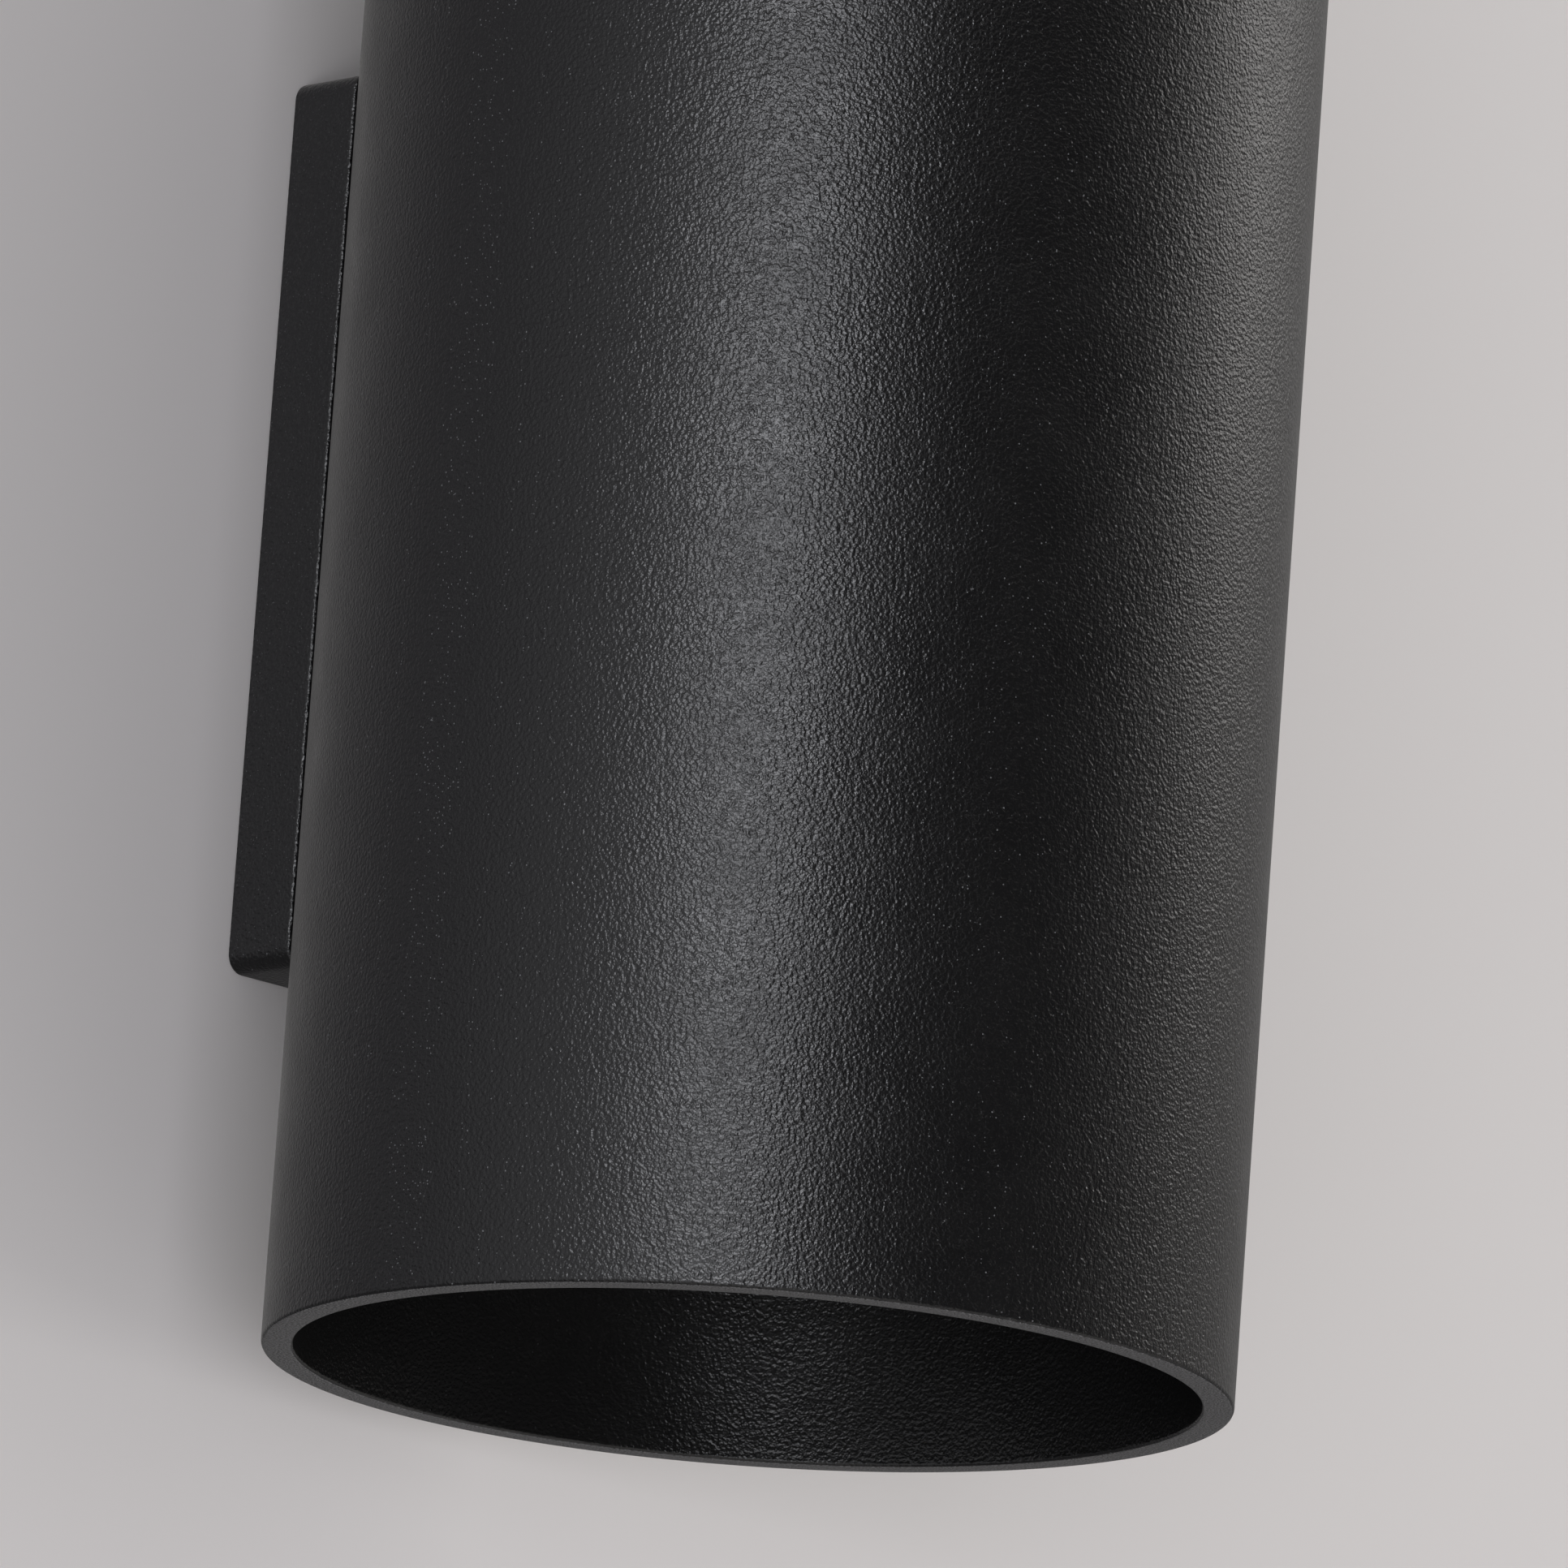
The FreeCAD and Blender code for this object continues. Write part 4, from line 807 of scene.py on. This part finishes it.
class WALLLIGHT_OT_finishes(bpy.types.Operator):
    """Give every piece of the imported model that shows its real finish"""

    bl_idname = "wall_light.finishes"
    bl_label = "Finishes"

    def execute(self, context):
        finishes = {
            "zinc_plate": zinc_plate("zinc_plated_steel_sheet"),
            "zinc_steel": turned_metal("zinc_plated_screw_steel", "#b5b8bc"),
            "black_steel": black_oxide("black_oxide_steel"),
            "black_rubber": soft_rubber("black_chloroprene_rubber"),
            "natural_nylon": moulded_plastic("natural_nylon", srgb("#d8d2c2"), 0.45),
            "brass": turned_metal("turned_brass", "#c9a45a"),
            "nickel_pin": turned_metal("nickel_plated_brass", "#b8b2a6"),
            "ceramic": steatite("unglazed_steatite"),
            "lamp_plastic": moulded_plastic("white_moulded_polyester", srgb("#dcdcd8"), 0.4),
            "lamp_metal": cast_lamp_metal("painted_die_cast_aluminium"),
            "matt_black_baffle": spun_black("matt_black_spun_aluminium"),
        }
        slots = {part["node"]: part["material_slot"] for part in frame["record"]["subparts"]}
        for name, piece in frame["nodes"].items():
            if piece.hide_render:
                continue
            for material_slot in piece.material_slots:
                material_slot.material = finishes[slots[name]]
        return {"FINISHED"}


# Each soft light: its bearing to the left of the front and its elevation, in degrees, its distance, width and height
# in metres, its watts and its colour.
ROOM_LIGHTS = {
    "key": (-60, 0, 2.0, 1.6, 1.6, 18, "#fffcfa"),
    "fill": (42, -14, 2.0, 1.2, 1.2, 14.5, "#fbf9ff"),
}
GLOSS_LIGHTS = {
    "window": (54, 12, 1.5, 0.6, 0.25, 9, "#f9faff"),
    "sill": (50, -17, 1.5, 0.7, 0.3, 2.6, "#f9faff"),
    "sheen": (-74, 32, 2.0, 1.2, 1.2, 11.5, "#fffcfa"),
}
ROOM_COLOURS = {
    "front": "#1c1c1d",
    "front right": "#8f8c8a",
    "above and below": "#cac7c5",
    "behind left": "#8a888c",
    "behind right": "#9a9897",
    "behind below": "#5c5b5c",
    "far left": "#c9c9cc",
    "backdrop": "#cfcdcc",
}


def direction(left, above):
    """The unit vector from the wall light towards a viewer this far to the left of the front and above it."""
    return np.array([-math.sin(left) * math.cos(above), -math.cos(left) * math.cos(above), math.sin(above)])


def placed(right, up, back, place):
    """The matrix that stands an object at a place, with its X, Y and Z axes to the right, up and back."""
    axes = (right, up, back, place)
    return Matrix([[axis[i] for axis in axes] for i in range(3)] + [[0, 0, 0, 1]])


def backdrop(name, corners, paint):
    """One flat four-sided backdrop, from its corners in rows of two. Only the camera sees it."""
    made = grid_object(name, np.array(corners, float).reshape(2, 2, 3))
    made.data.materials.append(paint)
    made.visible_diffuse = False
    made.visible_glossy = False
    made.visible_transmission = False
    made.visible_shadow = False


def soft_light(name, bearing, elevation, distance, width, height, watts, colour):
    """An area light that looks at the tube's middle."""
    light = bpy.data.lights.new(name, "AREA")
    light.shape = "RECTANGLE"
    light.size, light.size_y = width, height
    light.energy = watts
    light.color = srgb(colour)
    made = bpy.data.objects.new(name, light)
    bpy.context.scene.collection.objects.link(made)
    back = direction(math.radians(bearing), math.radians(elevation))
    right = np.array([-back[1], back[0], 0]) / math.hypot(back[0], back[1])
    up = np.cross(back, right)
    place = np.array([0, TUBE_AXIS_Y, 0]) + back * distance
    made.matrix_world = placed(right, up, back, place)
    return made


class WALLLIGHT_OT_stage(bpy.types.Operator):
    """Set up the pale wall and floor, the soft lights and the camera"""

    bl_idname = "wall_light.stage"
    bl_label = "Stage"

    def execute(self, context):
        stage = context.scene.wall_light.stage
        self.backdrops(stage)
        self.lights()
        self.room(context)
        self.camera(context, stage)
        context.scene.view_settings.view_transform = "Standard"
        return {"FINISHED"}

    @staticmethod
    def backdrops(stage):
        """The wall just behind the block, and the floor far below it."""
        reach, gap, drop = 4.0, 0.2 * MM, -stage.floor_drop
        backdrop("wall", [(-reach, gap, -reach), (-reach, gap, reach), (reach, gap, -reach), (reach, gap, reach)],
                 stage_paint("matt_wall_paint", tuple(stage.wall_colour)))
        backdrop("floor", [(-reach, -reach, drop), (-reach, reach, drop), (reach, -reach, drop), (reach, reach, drop)],
                 stage_paint("matt_floor", tuple(stage.floor_colour)))

    @staticmethod
    def lights():
        """Two lights draw no gloss: a key on the right, from which the tube shades the wall on its left, and a fill
        in front that softens that shade. Three draw the gloss alone: a window to the left, the pale sill below it
        and a faint light high on the right."""
        for name, placing in ROOM_LIGHTS.items():
            soft_light(name, *placing).visible_glossy = False
        for name, placing in GLOSS_LIGHTS.items():
            soft_light(name, *placing).visible_diffuse = False

    @staticmethod
    def room(context):
        """What the gloss mirrors: a room that is dark in front, paler on the right, and pale above, below, behind and
        far to the left. Where the camera looks past everything, it sees one even pale backdrop instead."""
        colours = {name: srgb(code) for name, code in ROOM_COLOURS.items()}
        world = bpy.data.worlds.new("room")
        context.scene.world = world
        world.use_nodes = True
        tree = world.node_tree
        towards = add_node(tree, "ShaderNodeTexCoord").outputs["Generated"]
        parts = add_node(tree, "ShaderNodeSeparateXYZ", links={"Vector": towards})
        across, depth, height = (parts.outputs[axis] for axis in "XYZ")
        front = mixed(tree, ramp(tree, across, (0.5, 1.0)), colours["front"], colours["front right"])
        upright = worked_out(tree, ramp(tree, height, (0.4, 0.8)), "ADD", ramp(tree, height, (-0.2, -0.6)))
        front = mixed(tree, upright, front, colours["above and below"])
        behind = mixed(tree, ramp(tree, across, (-0.5, 0.5)), colours["behind left"], colours["behind right"])
        behind = mixed(tree, ramp(tree, height, (-0.02, -0.12)), behind, colours["behind below"])
        seen = mixed(tree, ramp(tree, depth, (-0.1, 0.2)), front, behind)
        seen = mixed(tree, ramp(tree, across, (-0.72, -0.93)), seen, colours["far left"])
        straight = add_node(tree, "ShaderNodeLightPath").outputs["Is Camera Ray"]
        seen = mixed(tree, straight, seen, colours["backdrop"])
        tree.links.new(seen, tree.nodes["Background"].inputs["Color"])

    @staticmethod
    def camera(context, stage):
        """Places the lower rim's centre where the picture has it, and leans the camera by its roll."""
        data = bpy.data.cameras.new("camera")
        data.sensor_width = SENSOR_MM
        data.lens = stage.focal_length
        data.clip_start, data.clip_end = 0.1, 30.0
        made = bpy.data.objects.new("camera", data)
        context.scene.collection.objects.link(made)
        left, below, roll = stage.camera_left, stage.camera_below, stage.camera_roll
        back = direction(left, -below)
        right = np.array([math.cos(left), -math.sin(left), 0])
        up = np.cross(back, right)
        leaned_right = math.cos(roll) * right + math.sin(roll) * up
        leaned_up = math.cos(roll) * up - math.sin(roll) * right
        width_at_rim = stage.camera_distance * data.sensor_width / data.lens
        rim_centre = np.array([0, TUBE_AXIS_Y, -TUBE_SIZE.z / 2])
        place = (rim_centre + back * stage.camera_distance
                 - leaned_right * (stage.rim_right - 0.5) * width_at_rim
                 + leaned_up * (stage.rim_down - 0.5) * width_at_rim)
        made.matrix_world = placed(leaned_right, leaned_up, back, place)
        context.scene.camera = made


class WALLLIGHT_PT_panel(bpy.types.Panel):
    """Lists the settings and the pieces of the wall light"""

    bl_idname = "WALLLIGHT_PT_panel"
    bl_label = "Wall Light"
    bl_space_type = "VIEW_3D"
    bl_region_type = "UI"
    bl_category = "Wall Light"

    def draw(self, context):
        settings = context.scene.wall_light
        for label in ("coat", "tube", "block", "lamp", "stage"):
            group = getattr(settings, label)
            box = self.layout.box()
            box.label(text=label.capitalize())
            for name in group.__annotations__:
                box.prop(group, name)
        for operator in OPERATORS:
            self.layout.operator(operator.bl_idname)


SETTINGS = (CoatSettings, TubeSettings, BlockSettings, LampSettings, StageSettings, WallLightSettings)
OPERATORS = (WALLLIGHT_OT_tube, WALLLIGHT_OT_block, WALLLIGHT_OT_lenses, WALLLIGHT_OT_leads,
             WALLLIGHT_OT_finishes, WALLLIGHT_OT_stage)
CLASSES = (*SETTINGS, *OPERATORS, WALLLIGHT_PT_panel)


def register():
    for each in CLASSES:
        bpy.utils.register_class(each)
    bpy.types.Scene.wall_light = PointerProperty(type=WallLightSettings)


def unregister():
    del bpy.types.Scene.wall_light
    for each in reversed(CLASSES):
        bpy.utils.unregister_class(each)


def main():
    register()
    bpy.ops.wall_light.tube()
    bpy.ops.wall_light.block()
    bpy.ops.wall_light.lenses()
    bpy.ops.wall_light.leads()
    bpy.ops.wall_light.finishes()
    bpy.ops.wall_light.stage()
    bpy.context.view_layer.update()


if __name__ == "__main__":
    main()
